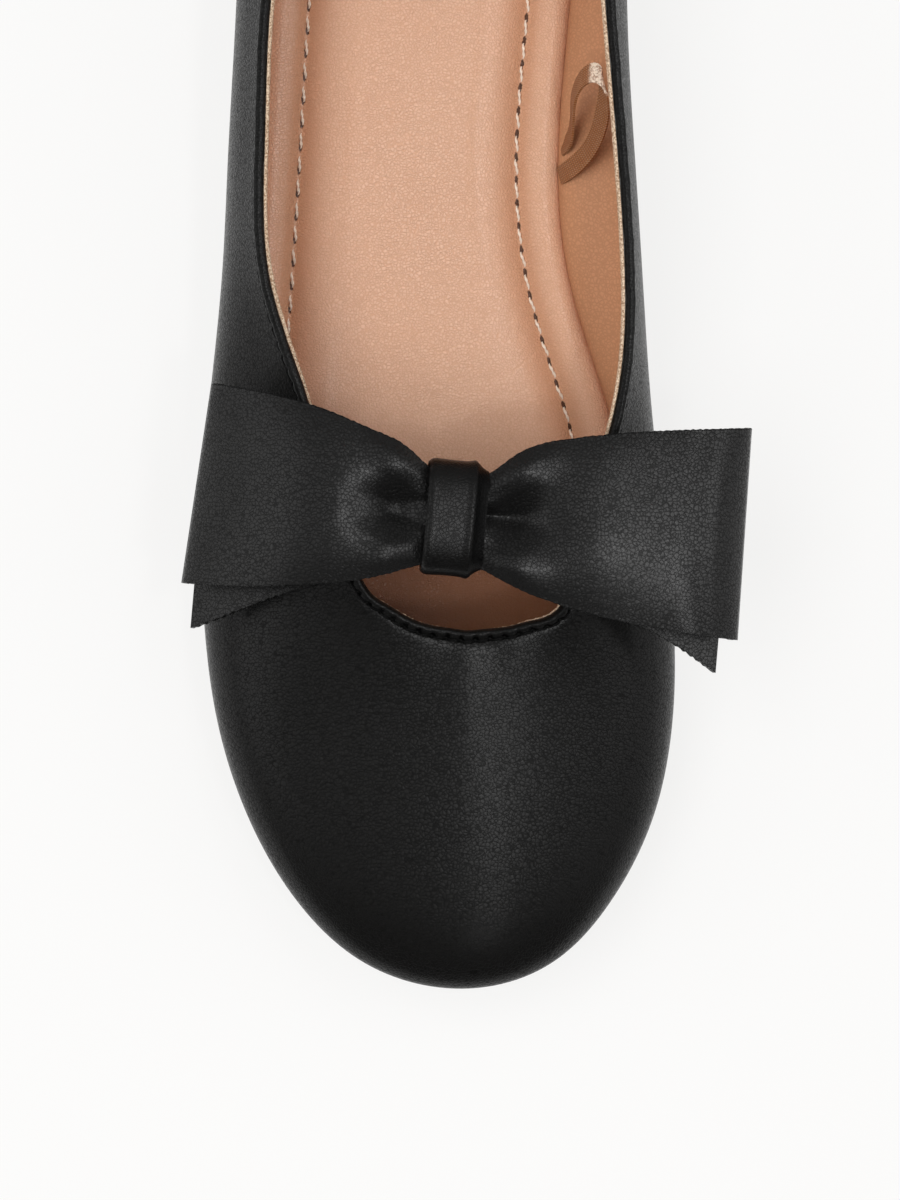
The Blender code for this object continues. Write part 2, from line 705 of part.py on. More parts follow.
def make_pull_loop(finish):
    """A woven tape loop that stands from the insole's edge, close to the medial lining."""
    tree = grid_tree(wall_grid(), True, False)
    start_y = along_to_y(TAPE_ALONG)
    start_z = sole_top(start_y) + INSOLE_RIM_HEIGHT
    path = []
    for height, lean, off in TAPE_PATH:
        y = start_y + lean * TAPE_HEIGHT
        z = start_z + height * TAPE_HEIGHT
        middle = Vector((0, y, z))
        hit = tree.ray_cast(middle, Vector((1, 0, 0)))[0]
        lining = hit or tree.find_nearest(middle + Vector((BALL_WIDTH, 0, 0)))[0]
        path.append((lining.x - UPPER_WALL - off * TAPE_WIDTH, y, z))
    path = np.array(path)
    count = 3 * len(path)
    path = spline(np.arange(len(path)) / len(path), path, np.arange(count) / count, closed=True)
    across = unit(np.array([0.25, 1.0, -0.35])) * TAPE_WIDTH / 2
    grid = np.stack([path - across, path + across], axis=1)
    thicken(grid_object("pull_loop", grid, finish, closed_columns=True), TAPE_THICKNESS, 0)


def main():
    clear_scene()
    bpy.context.scene.collection.children.link(bpy.data.collections.new(COLLECTION))
    black_leather = material("black_leather", (0.018, 0.018, 0.018), 0.42)
    bow_leather = material("bow_leather", (0.020, 0.020, 0.020), 0.45)
    nude_leather = material("nude_leather", (0.60, 0.36, 0.24), 0.45)
    black_rubber = material("black_rubber", (0.020, 0.020, 0.020), 0.65)
    nude_tape = material("nude_tape", (0.42, 0.22, 0.12), 0.40)
    make_outsole(black_rubber)
    make_heel(black_rubber)
    make_insole(nude_leather)
    make_upper(black_leather)
    make_binding(black_leather)
    make_bow(bow_leather)
    make_pull_loop(nude_tape)


main()
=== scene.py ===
"""A right ballet flat in black leather with a flat bow, seen from above with its toe down."""

import math

import bpy
import numpy as np
from mathutils import Matrix, Vector


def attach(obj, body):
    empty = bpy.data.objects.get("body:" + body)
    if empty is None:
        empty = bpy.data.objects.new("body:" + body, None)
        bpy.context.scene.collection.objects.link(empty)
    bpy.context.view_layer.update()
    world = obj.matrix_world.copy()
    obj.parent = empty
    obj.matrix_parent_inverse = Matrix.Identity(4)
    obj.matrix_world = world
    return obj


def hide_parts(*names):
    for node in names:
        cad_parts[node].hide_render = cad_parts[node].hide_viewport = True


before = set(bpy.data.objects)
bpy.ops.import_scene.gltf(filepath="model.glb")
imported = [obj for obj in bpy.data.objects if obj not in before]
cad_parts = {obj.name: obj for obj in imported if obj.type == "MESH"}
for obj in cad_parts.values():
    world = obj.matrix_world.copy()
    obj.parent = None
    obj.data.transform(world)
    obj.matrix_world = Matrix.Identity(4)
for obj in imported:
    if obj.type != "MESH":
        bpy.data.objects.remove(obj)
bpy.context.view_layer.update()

# Camera
# A catalogue picture from straight above, leaning a little from the outer side of the foot. The
# lens is long and a metre away, and takes in the front of the shoe up to the heel's start.
VIEW_CENTRE = Vector((0.0036, -0.1485, 0.018))
VIEW_DISTANCE = 0.982
VIEW_LEAN = math.radians(4.0)
VIEW_SPAN = 0.2154

eye = bpy.data.cameras.new("catalogue_camera")
eye.sensor_width = 36.0
eye.lens = eye.sensor_width * VIEW_DISTANCE / VIEW_SPAN
eye.clip_start = 0.01
eye.dof.use_dof = False
camera = bpy.data.objects.new("catalogue_camera", eye)
bpy.context.scene.collection.objects.link(camera)
cos, sin = math.cos(VIEW_LEAN), math.sin(VIEW_LEAN)
camera.matrix_world = Matrix(((cos, 0, -sin, 0), (0, 1, 0, 0), (sin, 0, cos, 0), (0, 0, 0, 1)))
camera.location = VIEW_CENTRE + VIEW_DISTANCE * Vector((-sin, 0, cos))
bpy.context.scene.camera = camera

# The last
# The form that the shoe is built on. Each row is one profile of the wall round the foot, and a
# closed spline through the rows gives the wall between them, as it does for the solids.
SHOE_LENGTH = 0.250
BALL_WIDTH = 0.0842
INSTEP_HEIGHT = 0.036
BACK_HEIGHT = 0.061
HEEL_SEAT = 0.032
UPPER_WALL = 0.0018
FIT_GAP = 0.0003
SOLE_THICKNESS = 0.0032
TOE_SPRING = 0.0085
HEEL_HEIGHT = 0.009
TREAD_FRONT = 0.205
TREAD_REAR = 0.345
SEAT_START = 0.775

# Along is a share of SHOE_LENGTH from the toe tip, across a share of BALL_WIDTH from the axis,
# wide rise a share of INSTEP_HEIGHT, and top rise a share of the way up to BACK_HEIGHT.
PROFILE_COLUMNS = (
    "foot_along", "foot_across", "wide_along", "wide_across", "wide_rise",
    "top_along", "top_across", "top_rise", "shoulder", "crown", "drop",
)
MEDIAL_PROFILES = (
    ("toe tip",       .0128, .086, .0000, .086, .29, .2537, .066, .00, .62, .50, .40),
    ("toe side",      .0300, .243, .0194, .266, .29, .2547, .102, .00, .62, .50, .39),
    ("toe corner",    .0692, .354, .0624, .389, .30, .2563, .148, .01, .60, .50, .37),
    ("big toe",       .1240, .437, .1200, .478, .32, .2603, .195, .02, .58, .50, .35),
    ("ball front",    .1940, .476, .1920, .522, .34, .2669, .251, .03, .56, .50, .33),
    ("ball",          .2640, .482, .2640, .523, .36, .2920, .292, .05, .52, .48, .31),
    ("ball rear",     .3400, .468, .3400, .500, .38, .3480, .332, .09, .47, .45, .30),
    ("waist front",   .4160, .430, .4160, .472, .41, .4175, .385, .16, .42, .40, .34),
    ("waist",         .5040, .347, .5040, .449, .45, .5021, .401, .24, .40, .35, .40),
    ("arch",          .5840, .315, .5840, .430, .47, .5896, .384, .30, .40, .33, .42),
    ("waist rear",    .6800, .330, .6800, .411, .46, .6691, .362, .38, .40, .30, .42),
    ("heel front",    .7800, .350, .7800, .403, .43, .7680, .334, .54, .40, .30, .42),
    ("heel side",     .8720, .338, .8760, .376, .41, .8600, .301, .76, .40, .30, .42),
    ("heel corner",   .9440, .262, .9540, .289, .41, .9340, .231, .94, .40, .30, .42),
    ("heel back",     .9860, .000, 1.000, .000, .42, .9760, .000, 1.0, .40, .30, .42),
)
LATERAL_PROFILES = (
    ("heel corner",   .9440, -.256, .9530, -.283, .41, .9340, -.229, .94, .40, .30, .42),
    ("heel side",     .8720, -.338, .8760, -.371, .40, .8600, -.301, .76, .40, .30, .42),
    ("heel front",    .7800, -.368, .7800, -.404, .39, .7680, -.337, .51, .40, .30, .42),
    ("waist rear",    .6800, -.386, .6800, -.419, .39, .6802, -.367, .33, .40, .30, .42),
    ("arch",          .5880, -.401, .5960, -.432, .39, .5961, -.375, .24, .40, .33, .42),
    ("waist",         .5040, -.416, .5100, -.444, .38, .5061, -.365, .18, .41, .36, .40),
    ("waist front",   .4160, -.438, .4160, -.471, .37, .4132, -.277, .13, .46, .42, .34),
    ("ball rear",     .3400, -.455, .3400, -.487, .36, .3460, -.224, .08, .50, .46, .30),
    ("ball",          .2640, -.447, .2640, -.481, .35, .2900, -.163, .04, .53, .48, .31),
    ("ball front",    .1940, -.416, .1920, -.453, .34, .2735, -.114, .03, .56, .50, .33),
    ("little toe",    .1240, -.348, .1200, -.384, .32, .2638, -.066, .02, .58, .50, .35),
    ("toe corner",    .0692, -.252, .0624, -.284, .30, .2578, -.018, .01, .60, .50, .37),
    ("toe side",      .0300, -.112, .0194, -.147, .29, .2553, .028, .00, .62, .50, .39),
)


def spline(knots, values, at, closed=False):
    """Cubic with continuous curvature through the values, read at the given parameters.

    A closed one repeats after a parameter of 1.
    """
    knots, values, at = (np.asarray(x, float) for x in (knots, values, at))
    flat = values.ndim == 1
    values = values.reshape(len(knots), -1)
    if closed:
        knots = np.append(knots, knots[0] + 1.0)
        values = np.vstack([values, values[:1]])
    count = len(knots)
    gaps = np.diff(knots)
    slopes = np.diff(values, axis=0) / gaps[:, None]
    system = np.eye(count)
    right = np.zeros_like(values)
    for i in range(1, count - 1):
        system[i, i - 1:i + 2] = gaps[i - 1], 2 * (gaps[i - 1] + gaps[i]), gaps[i]
        right[i] = 6 * (slopes[i] - slopes[i - 1])
    if closed:
        system[0] = 0
        system[0, [0, 1, -2]] = 2 * (gaps[-1] + gaps[0]), gaps[0], gaps[-1]
        right[0] = 6 * (slopes[0] - slopes[-1])
        system[-1, 0] = -1
    bends = np.linalg.solve(system, right)
    index = np.clip(np.searchsorted(knots, at, side="right") - 1, 0, count - 2)
    gap = gaps[index][:, None]
    before = (np.atleast_1d(at) - knots[index])[:, None]
    after = gap - before
    made = (
        (bends[index] * after**3 + bends[index + 1] * before**3) / (6 * gap)
        + (values[index] / gap - bends[index] * gap / 6) * after
        + (values[index + 1] / gap - bends[index + 1] * gap / 6) * before
    )
    return made[:, 0] if flat else made


def along_to_y(along):
    return along * SHOE_LENGTH - (SHOE_LENGTH - HEEL_SEAT)


def sole_lift(y):
    """Height of the outsole's underside: toe spring, flat tread, rise of the shank, heel seat."""
    along = (np.asarray(y, float) + SHOE_LENGTH - HEEL_SEAT) / SHOE_LENGTH
    front = np.clip((TREAD_FRONT - along) / TREAD_FRONT, 0, 1)
    rear = np.clip((along - TREAD_REAR) / (SEAT_START - TREAD_REAR), 0, 1)
    return TOE_SPRING * front**2 + HEEL_HEIGHT * rear**2 * (3 - 2 * rear)


def sole_top(y):
    return sole_lift(y) + SOLE_THICKNESS


def profiles(count):
    """The table's columns, smoothed to count profiles round the shoe, as a dictionary."""
    rows = np.array([row[1:] for row in MEDIAL_PROFILES + LATERAL_PROFILES])
    wide = rows[:, 2:4] * (SHOE_LENGTH, BALL_WIDTH)
    steps = np.linalg.norm(np.roll(wide, -1, axis=0) - wide, axis=1)
    half = len(MEDIAL_PROFILES) - 1
    medial, lateral = steps[:half], steps[half:]
    knots = np.concatenate([
        [0.0],
        np.cumsum(medial) / medial.sum() / 2,
        0.5 + np.cumsum(lateral)[:-1] / lateral.sum() / 2,
    ])
    smooth = spline(knots, rows, np.arange(count) / count, closed=True)
    return dict(zip(PROFILE_COLUMNS, smooth.T))


def placed(along, across, z):
    return np.stack([across * BALL_WIDTH, along_to_y(along), z], axis=1)


def foot_outline(count):
    table = profiles(count)
    return placed(table["foot_along"], table["foot_across"], 0 * table["foot_along"])[:, :2]


def bezier(p0, p1, p2, p3, share):
    rest = 1 - share
    return rest**3 * p0 + 3 * rest**2 * share * p1 + 3 * rest * share**2 * p2 + share**3 * p3


def wall_grid(count, low_shares, high_shares):
    """Outer face of the upper: count profiles round the shoe, from the foot to the topline."""
    table = profiles(count)
    foot_z = sole_top(along_to_y(table["foot_along"])) + FIT_GAP
    wide_z = foot_z + table["wide_rise"] * INSTEP_HEIGHT
    top_z = INSTEP_HEIGHT + table["top_rise"] * (BACK_HEIGHT - INSTEP_HEIGHT)
    foot = placed(table["foot_along"], table["foot_across"], foot_z)
    wide = placed(table["wide_along"], table["wide_across"], wide_z)
    top = placed(table["top_along"], table["top_across"], top_z)
    up = np.array([0, 0, 1.0])
    low, high = wide_z - foot_z, top_z - wide_z
    flare = foot + 0.35 * (wide - foot) * (1, 1, 0) + np.outer(0.30 * low, up)
    under = wide - np.outer(0.45 * low, up)
    shoulder = wide + np.outer(table["shoulder"] * high, up)
    crown = top + table["crown"][:, None] * (wide - top) * (1, 1, 0)
    crown -= np.outer(table["drop"] * high, up)
    rows = [bezier(foot, flare, under, wide, share) for share in low_shares]
    rows += [bezier(wide, shoulder, crown, top, share) for share in high_shares[1:]]
    return np.stack(rows, axis=1)


# Outsole
# A thin black rubber sole, moulded with a rounded edge, glued under the upper. It bends up at
# the toe and rises over the shank to the heel seat.
SOLE_MARGIN = 0.0006
SOLE_EDGE_ROUND = 0.0009
SOLE_COLUMNS = 320
SOLE_CROSS_STEPS = 28
RUBBER = (0.017, 0.017, 0.018)


def unit(vectors):
    return vectors / np.linalg.norm(vectors, axis=-1, keepdims=True)


def onward(path):
    """From the point before to the point after, at each point of a closed path."""
    return np.roll(path, -1, axis=0) - np.roll(path, 1, axis=0)


def travelled(path):
    """The way along a closed path to each of its points, and last the way round it all."""
    return np.append(0, np.cumsum(np.linalg.norm(np.roll(path, -1, axis=0) - path, axis=1)))


def turn_in_plan(outline):
    """Outward directions in plan of a closed outline that runs anticlockwise from above."""
    tangent = onward(outline)
    return unit(np.stack([tangent[:, 1], -tangent[:, 0]], axis=1))


def ring(outline, outset, height):
    """A closed ring of points: the outline moved outwards, at the height that it is given."""
    plan = outline + outset * turn_in_plan(outline)
    return np.column_stack([plan, height(plan[:, 1])])


def bands(levels, count):
    """The faces between stacked rings of count points, first ring to last."""
    return [
        (low + k, low + (k + 1) % count, low + count + (k + 1) % count, low + count + k)
        for low in range(0, (levels - 1) * count, count)
        for k in range(count)
    ]


def piece(name, points, faces, finish, maps=()):
    """A smooth mesh object. maps are pairs of a UV map's name and a u and v for each corner."""
    mesh = bpy.data.meshes.new(name)
    mesh.from_pydata([tuple(p) for p in points], [], faces)
    for map_name, corners in maps:
        layer = mesh.uv_layers.new(name=map_name)
        layer.data.foreach_set("uv", np.ravel(corners))
    mesh.shade_smooth()
    mesh.materials.append(finish.material)
    made = bpy.data.objects.new(name, mesh)
    bpy.context.scene.collection.objects.link(made)
    return made


def stacked_piece(name, rings, height_below, height_above, finish, ring_maps=None):
    """A solid from closed rings, first to last from its underside round to its top.

    The first and last ring are closed by strips across the shoe, whose heights follow the two
    functions of x and y. ring_maps gives the seam map's v for each ring.
    """
    count = len(rings[0])
    points = [p for r in rings for p in r]
    faces = bands(len(rings), count)
    for level, height in ((0, height_below), (len(rings) - 1, height_above)):
        edge = rings[level]
        start = level * count
        rungs = [[start]]
        for k in range(1, count // 2):
            rung = [start + k]
            for step in range(1, SOLE_CROSS_STEPS):
                share = step / SOLE_CROSS_STEPS
                plan = edge[k] * (1 - share) + edge[count - k] * share
                rung.append(len(points))
                points.append((plan[0], plan[1], height(plan[0], plan[1])))
            rungs.append([*rung, start + count - k])
        rungs.append([start + count // 2])
        strips = []
        for near, far in zip(rungs, rungs[1:]):
            for step in range(SOLE_CROSS_STEPS):
                if len(near) == 1:
                    strips.append((near[0], far[step], far[step + 1]))
                elif len(far) == 1:
                    strips.append((near[step], far[0], near[step + 1]))
                else:
                    strips.append((near[step], far[step], far[step + 1], near[step + 1]))
        faces += [face[::-1] for face in strips] if level == 0 else strips
    if ring_maps is None:
        return piece(name, points, faces, finish)
    around = travelled(rings[int(np.argmin(np.abs(ring_maps)))])
    corners = [
        corner
        for v, x in zip(ring_maps, ring_maps[1:])
        for u, w in zip(around, around[1:])
        for corner in ((u, v), (w, v), (w, x), (u, x))
    ]
    plain = sum(len(face) for face in faces) - len(corners)
    return piece(name, points, faces, finish, (("seam", corners + [(0.0, 1.0)] * plain),))


class Amount:
    """A value that varies over a surface. Python's operators on it add Math nodes."""

    def __init__(self, finish, socket):
        self.finish = finish
        self.socket = socket

    def math(self, operation, *values):
        return self.finish.node("Math", dict(enumerate(values)), {"operation": operation})

    def __add__(self, other):
        return self.math("ADD", self, other)

    def __sub__(self, other):
        return self.math("SUBTRACT", self, other)

    def __rsub__(self, other):
        return self.math("SUBTRACT", other, self)

    def __mul__(self, other):
        return self.math("MULTIPLY", self, other)

    def __truediv__(self, other):
        return self.math("DIVIDE", self, other)

    def __abs__(self):
        return self.math("ABSOLUTE", self)

    __radd__ = __add__
    __rmul__ = __mul__

    def rises(self, low, high):
        """0 below low, 1 above high, and smooth between them."""
        sockets = {"Value": self, "From Min": low, "From Max": high}
        return self.finish.node("MapRange", sockets, {"interpolation_type": "SMOOTHSTEP"})


class Finish:
    """A material, and the nodes that vary it over the surface."""

    def __init__(self, name, **sockets):
        self.material = bpy.data.materials.new(name)
        self.material.use_nodes = True
        self.tree = self.material.node_tree
        self.shader = self.tree.nodes["Principled BSDF"]
        self.wear(**sockets)

    def put(self, socket, value):
        if isinstance(value, Amount):
            self.tree.links.new(value.socket, socket)
        else:
            socket.default_value = value

    def node(self, kind, sockets=None, settings=None, output=0):
        """Adds a node, sets its settings, then its sockets, and returns one of its outputs."""
        made = self.tree.nodes.new("ShaderNode" + kind)
        for name, value in (settings or {}).items():
            setattr(made, name, value)
        for name, value in (sockets or {}).items():
            self.put(made.inputs[name], value)
        return Amount(self, made.outputs[output])

    def wear(self, **sockets):
        """Sets or links sockets of the material's shader, as in wear(Base_Color=...)."""
        for name, value in sockets.items():
            self.put(self.shader.inputs[name.replace("_", " ")], value)

    def mix(self, share, first, second):
        """The first colour where the share is 0 and the second at 1. Each may vary already."""
        sides = [c if isinstance(c, Amount) else (*c, 1) for c in (first, second)]
        return self.node("Mix", {0: share, 6: sides[0], 7: sides[1]}, {"data_type": "RGBA"}, 2)

    def noise(self, size, detail=2.0):
        place = self.node("TexCoord", output="Object")
        return self.node("TexNoise", {"Vector": place, "Scale": 1 / size, "Detail": detail})

    def seam_map(self):
        """The two values of the piece's seam map: metres along, and what it gives across."""
        along = self.node("SeparateXYZ", {0: self.node("UVMap", settings={"uv_map": "seam"})})
        return along, Amount(self, along.socket.node.outputs[1])

    def relief(self, height, depth):
        """Bumps the surface by a height from 0 to 1, which is depth metres high at 1."""
        self.wear(Normal=self.node("Bump", {"Height": height, "Distance": depth}))


rubber = Finish("sole_rubber", Base_Color=(*RUBBER, 1), Specular_IOR_Level=0.35)
speckle = rubber.noise(0.0006, 3.0)
rubber.wear(Roughness=0.55 + 0.2 * speckle)
rubber.relief(speckle, 0.00006)

outline = foot_outline(SOLE_COLUMNS)
sole_rings = [
    ring(
        outline,
        SOLE_MARGIN - SOLE_EDGE_ROUND * (1 - math.cos(turn)),
        lambda y, turn=turn: sole_lift(y) + SOLE_EDGE_ROUND * (1 + math.sin(turn)),
    )
    for turn in np.linspace(-math.pi / 2, 0, 7)
]
sole_rings.append(ring(outline, SOLE_MARGIN, lambda y: sole_top(y) - SOLE_EDGE_ROUND / 2))
sole_rings.append(ring(outline, SOLE_MARGIN - SOLE_EDGE_ROUND / 2, sole_top))
outsole = stacked_piece(
    "outsole_rubber", sole_rings, lambda x, y: sole_lift(y), lambda x, y: sole_top(y), rubber
)
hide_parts("outsole")
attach(outsole, "root")

# Heel
# A low stacked block in black rubber with a hollowed front, and a thin top piece that wears on
# the floor. It is glued under the heel seat.
HEEL_BREAST = 0.795
HEEL_TAPER = 0.0010
HEEL_BREAST_HOLLOW = 0.0025
TOP_PIECE = 0.0030
TOP_PIECE_GROOVE = 0.0003


def heel_plan(count):
    """The heel's outline at its seat: the shoe's own outline and a hollowed front edge."""
    outline = foot_outline(count)
    full = outline + SOLE_MARGIN * turn_in_plan(outline)
    breast_y = along_to_y(HEEL_BREAST)
    seat = full[full[:, 1] > breast_y]
    ends = []
    for first, step in ((seat[0], -1), (seat[-1], 1)):
        index = int(np.argmin(np.linalg.norm(full - first, axis=1)))
        before = full[(index + step) % len(full)]
        share = (breast_y - before[1]) / (first[1] - before[1])
        ends.append(before + share * (first - before))
    shares = np.linspace(0, 1, 31)[1:-1]
    hollow = [
        ends[1] * (1 - s) + ends[0] * s + (0, HEEL_BREAST_HOLLOW * math.sin(math.pi * s))
        for s in shares
    ]
    return np.vstack([ends[0], seat, ends[1], hollow])


plan = heel_plan(SOLE_COLUMNS)
inward = -turn_in_plan(plan)
groove_top = TOP_PIECE + TOP_PIECE_GROOVE
taper = 0.7 * HEEL_TAPER
# How far in from the seat's outline the block is at each height.
levels = (
    (HEEL_TAPER + 0.0006, 0.0),
    (HEEL_TAPER + 0.0001, 0.0002),
    (HEEL_TAPER, 0.0006),
    (taper, TOP_PIECE - 0.0001),
    (taper + TOP_PIECE_GROOVE, TOP_PIECE + TOP_PIECE_GROOVE / 3),
    (taper + TOP_PIECE_GROOVE, groove_top),
    (taper, groove_top + 0.0002),
    (0.0, HEEL_HEIGHT - FIT_GAP),
)
points = np.vstack([
    np.column_stack([plan + inset * inward, np.full(len(plan), z)]) for inset, z in levels
])
count = len(plan)
top = (len(levels) - 1) * count
faces = [tuple(range(count))[::-1], tuple(range(top, top + count)), *bands(len(levels), count)]
heel = piece("heel_block", points, faces, rubber)
heel.data.set_sharp_from_angle(angle=math.radians(40))
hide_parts("heel")
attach(heel, "root")

# Insole
# A padded sock of nude leather over foam. Its rim is rolled, a seam of cream thread runs round
# inside it, and the middle is puffed. It is glued down, and its rim meets the lining.
NUDE = (0.860, 0.524, 0.352)
NUDE_DEEP = (0.755, 0.430, 0.274)
# Painted shade in the seam's groove, beside the stitches.
SEAM_PAINTED_SHADE = (0.620, 0.300, 0.160)
# Painted shade in the needle holes between the stitches.
HOLE_PAINTED_SHADE = (0.090, 0.036, 0.018)
INSOLE_COLUMNS = 360
INSOLE_STITCH_INSET = 0.0081
INSOLE_STITCH_PITCH = 0.0042
INSOLE_STITCH_HEIGHT = 0.0032
PANEL_SWELL = 0.00018
# Where the painted shade beside the seam starts to fade, and where it is gone.
SEAM_SHADE = (0.0004, 0.0040)
# Height above the insole's base at each inset from its edge.
INSOLE_SECTION = (
    (0.0012, 0.0000),
    (0.0002, 0.0008),
    (0.0000, 0.0018),
    (0.0003, 0.0034),
    (0.0012, 0.0048),
    (0.0028, 0.0055),
    (0.0048, 0.0053),
    (0.0066, 0.0044),
    (0.0076, 0.0035),
    (0.0081, 0.0032),
    (0.0086, 0.0034),
    (0.0098, 0.0040),
    (0.0118, 0.0048),
    (0.0140, 0.0052),
    (0.0160, 0.0053),
)
# Painted shade on the insole under the vamp, where the bow and the vamp shadow it.
TOE_SHADE = (0.300, 0.110, 0.045)
TOE_STARTS = (-0.142, -0.124)


def toward_toe(finish):
    """1 under the vamp, 0 in the open part of the shoe, and smooth between them."""
    place = finish.node("SeparateXYZ", {0: finish.node("TexCoord", output="Object")}, output=1)
    return 1 - place.rises(*TOE_STARTS)


def pebble(finish, size):
    """A pebbled grain: 0 in the creases between its cells, and more towards their middles."""
    place = finish.node("TexCoord", output="Object")
    drift = finish.node("TexNoise", {"Vector": place, "Scale": 0.6 / size}, output="Color")
    apart = finish.node(
        "VectorMath", {0: drift, 1: (0.5, 0.5, 0.5)}, {"operation": "SUBTRACT"}
    )
    shift = finish.node("VectorMath", {0: apart, "Scale": size}, {"operation": "SCALE"})
    moved = finish.node("VectorMath", {0: place, 1: shift}, {"operation": "ADD"})
    sockets = {"Vector": moved, "Scale": 1 / size}
    return finish.node("TexVoronoi", sockets, {"feature": "DISTANCE_TO_EDGE"})


def needle_holes(finish, pitch, length, width):
    """1 in the holes half way between stitches, read from the piece's seam map in metres."""
    along, across = finish.seam_map()
    far = (pitch / 2 - along.math("PINGPONG", along, pitch / 2)) / (length / 2)
    wide = across / (width / 2) + 1.2 * (finish.noise(0.0005, 1.0) - 0.5)
    return 1 - (far * far + wide * wide).rises(0.45, 1.0)


def stitch_row_tree():
    """Geometry nodes that lay twisted stitches of thread along a path with an up attribute."""
    tree = bpy.data.node_groups.new("stitch_row", "GeometryNodeTree")
    face = tree.interface
    face.new_socket("Geometry", in_out="INPUT", socket_type="NodeSocketGeometry")
    face.new_socket("Count", in_out="INPUT", socket_type="NodeSocketInt")
    for name in ("Length", "Thread", "Arch", "Sink", "Slant", "Twist"):
        face.new_socket(name, in_out="INPUT", socket_type="NodeSocketFloat")
    face.new_socket("Finish", in_out="INPUT", socket_type="NodeSocketMaterial")
    face.new_socket("Geometry", in_out="OUTPUT", socket_type="NodeSocketGeometry")

    def node(kind, sockets=None, output=0, **settings):
        made = tree.nodes.new(kind)
        for name, value in settings.items():
            setattr(made, name, value)
        for name, value in (sockets or {}).items():
            if isinstance(value, bpy.types.NodeSocket):
                tree.links.new(value, made.inputs[name])
            else:
                made.inputs[name].default_value = value
        return made.outputs[output]

    def math_node(operation, first, second):
        return node("ShaderNodeMath", {0: first, 1: second}, operation=operation)

    given = tree.nodes.new("NodeGroupInput").outputs
    half = math_node("MULTIPLY", given["Length"], 0.5)
    back = math_node("MULTIPLY", given["Length"], -0.5)
    sunk = math_node("MULTIPLY", given["Sink"], -1.0)
    ends = {
        "Start": node("ShaderNodeCombineXYZ", {"X": back, "Z": sunk}),
        "Middle": node("ShaderNodeCombineXYZ", {"Z": given["Arch"]}),
        "End": node("ShaderNodeCombineXYZ", {"X": half, "Z": sunk}),
    }
    arch = node("GeometryNodeCurveQuadraticBezier", {**ends, "Resolution": 14})
    share = node("GeometryNodeSplineParameter", output="Factor")
    twist = math_node("MULTIPLY", share, given["Twist"])
    turned = node("GeometryNodeSetCurveTilt", {"Curve": arch, "Tilt": twist})
    radius = math_node("MULTIPLY", given["Thread"], 0.5)
    ply = node("GeometryNodeCurvePrimitiveCircle", {"Resolution": 8, "Radius": radius})
    flat = node("GeometryNodeTransform", {"Geometry": ply, "Scale": (1.0, 0.62, 1.0)})
    swept = {"Curve": turned, "Profile Curve": flat, "Fill Caps": True}
    thread = node("GeometryNodeCurveToMesh", swept)
    path = node("GeometryNodeMeshToCurve", {"Mesh": given["Geometry"]})
    spaced = node("GeometryNodeResampleCurve", {"Curve": path, "Count": given["Count"]})
    tangent = node("GeometryNodeInputTangent")
    up = node("GeometryNodeInputNamedAttribute", {"Name": "up"}, data_type="FLOAT_VECTOR")
    align = "FunctionNodeAlignRotationToVector"
    along = node(align, {"Vector": tangent}, axis="X")
    level = node(align, {"Rotation": along, "Vector": up}, axis="Z", pivot_axis="X")
    drift = {2: -0.06, 3: 0.06, "Seed": 5}
    loose = node("FunctionNodeRandomValue", drift, output=1, data_type="FLOAT")
    turn = node("ShaderNodeCombineXYZ", {"Z": math_node("ADD", given["Slant"], loose)})
    turns = {"Rotation": level, "Rotate By": turn}
    slanted = node("FunctionNodeRotateRotation", turns, rotation_space="LOCAL")
    stitched = {"Points": spaced, "Instance": thread, "Rotation": slanted}
    laid = node("GeometryNodeInstanceOnPoints", stitched)
    real = node("GeometryNodeRealizeInstances", {"Geometry": laid})
    smooth = node("GeometryNodeSetShadeSmooth", {"Geometry": real})
    dyed = {"Geometry": smooth, "Material": given["Finish"]}
    coloured = node("GeometryNodeSetMaterial", dyed)
    tree.links.new(coloured, tree.nodes.new("NodeGroupOutput").inputs["Geometry"])
    return tree


def keep_made(item, modifier):
    """Keeps what a modifier makes of an object as the object's plain mesh."""
    ready = item.evaluated_get(bpy.context.evaluated_depsgraph_get())
    plain = bpy.data.meshes.new_from_object(ready)
    item.modifiers.remove(modifier)
    item.data = plain


def stitch_row(name, path, ups, finish, count, **sizes):
    """One mesh of stitches, spaced evenly round a path, each turned to the surface's up."""
    mesh = bpy.data.meshes.new(name)
    links = [(k, (k + 1) % len(path)) for k in range(len(path))]
    mesh.from_pydata([tuple(p) for p in path], links, [])
    mesh.attributes.new("up", "FLOAT_VECTOR", "POINT").data.foreach_set("vector", np.ravel(ups))
    made = bpy.data.objects.new(name, mesh)
    bpy.context.scene.collection.objects.link(made)
    row = made.modifiers.new("stitches", "NODES")
    row.node_group = stitches
    values = {"Count": count, "Finish": finish.material, **sizes}
    for socket in stitches.interface.items_tree:
        if socket.name in values:
            row[socket.identifier] = values[socket.name]
    keep_made(made, row)
    return made


def leather_wear(finish, light, deep, size, smooth, rough, gloss, dull=None):
    """Pebbled leather: dull deep creases round cells whose tops have a thin gloss.

    size is a cell's, and smooth and rough are the roughness of tops and creases. Where dull is
    1, the leather has no gloss at all. Returns its colour, and its height from 0 to 1.
    """
    cells = pebble(finish, size)
    tops = cells.rises(0.01, 0.16)
    fine = finish.noise(size / 2, 1.0)
    patch = finish.noise(0.018, 2.0)
    colour = finish.mix(0.65 * tops + 0.35 * patch, deep, light)
    shine = gloss * (0.14 + 0.72 * tops + 0.14 * patch)
    finish.wear(
        Roughness=rough - (rough - smooth) * (0.75 * tops + 0.25 * patch),
        Coat_Weight=shine if dull is None else shine * (1 - dull),
        Coat_Roughness=smooth,
    )
    return colour, 0.60 * tops + 0.30 * cells.rises(0.0, 0.50) + 0.10 * fine


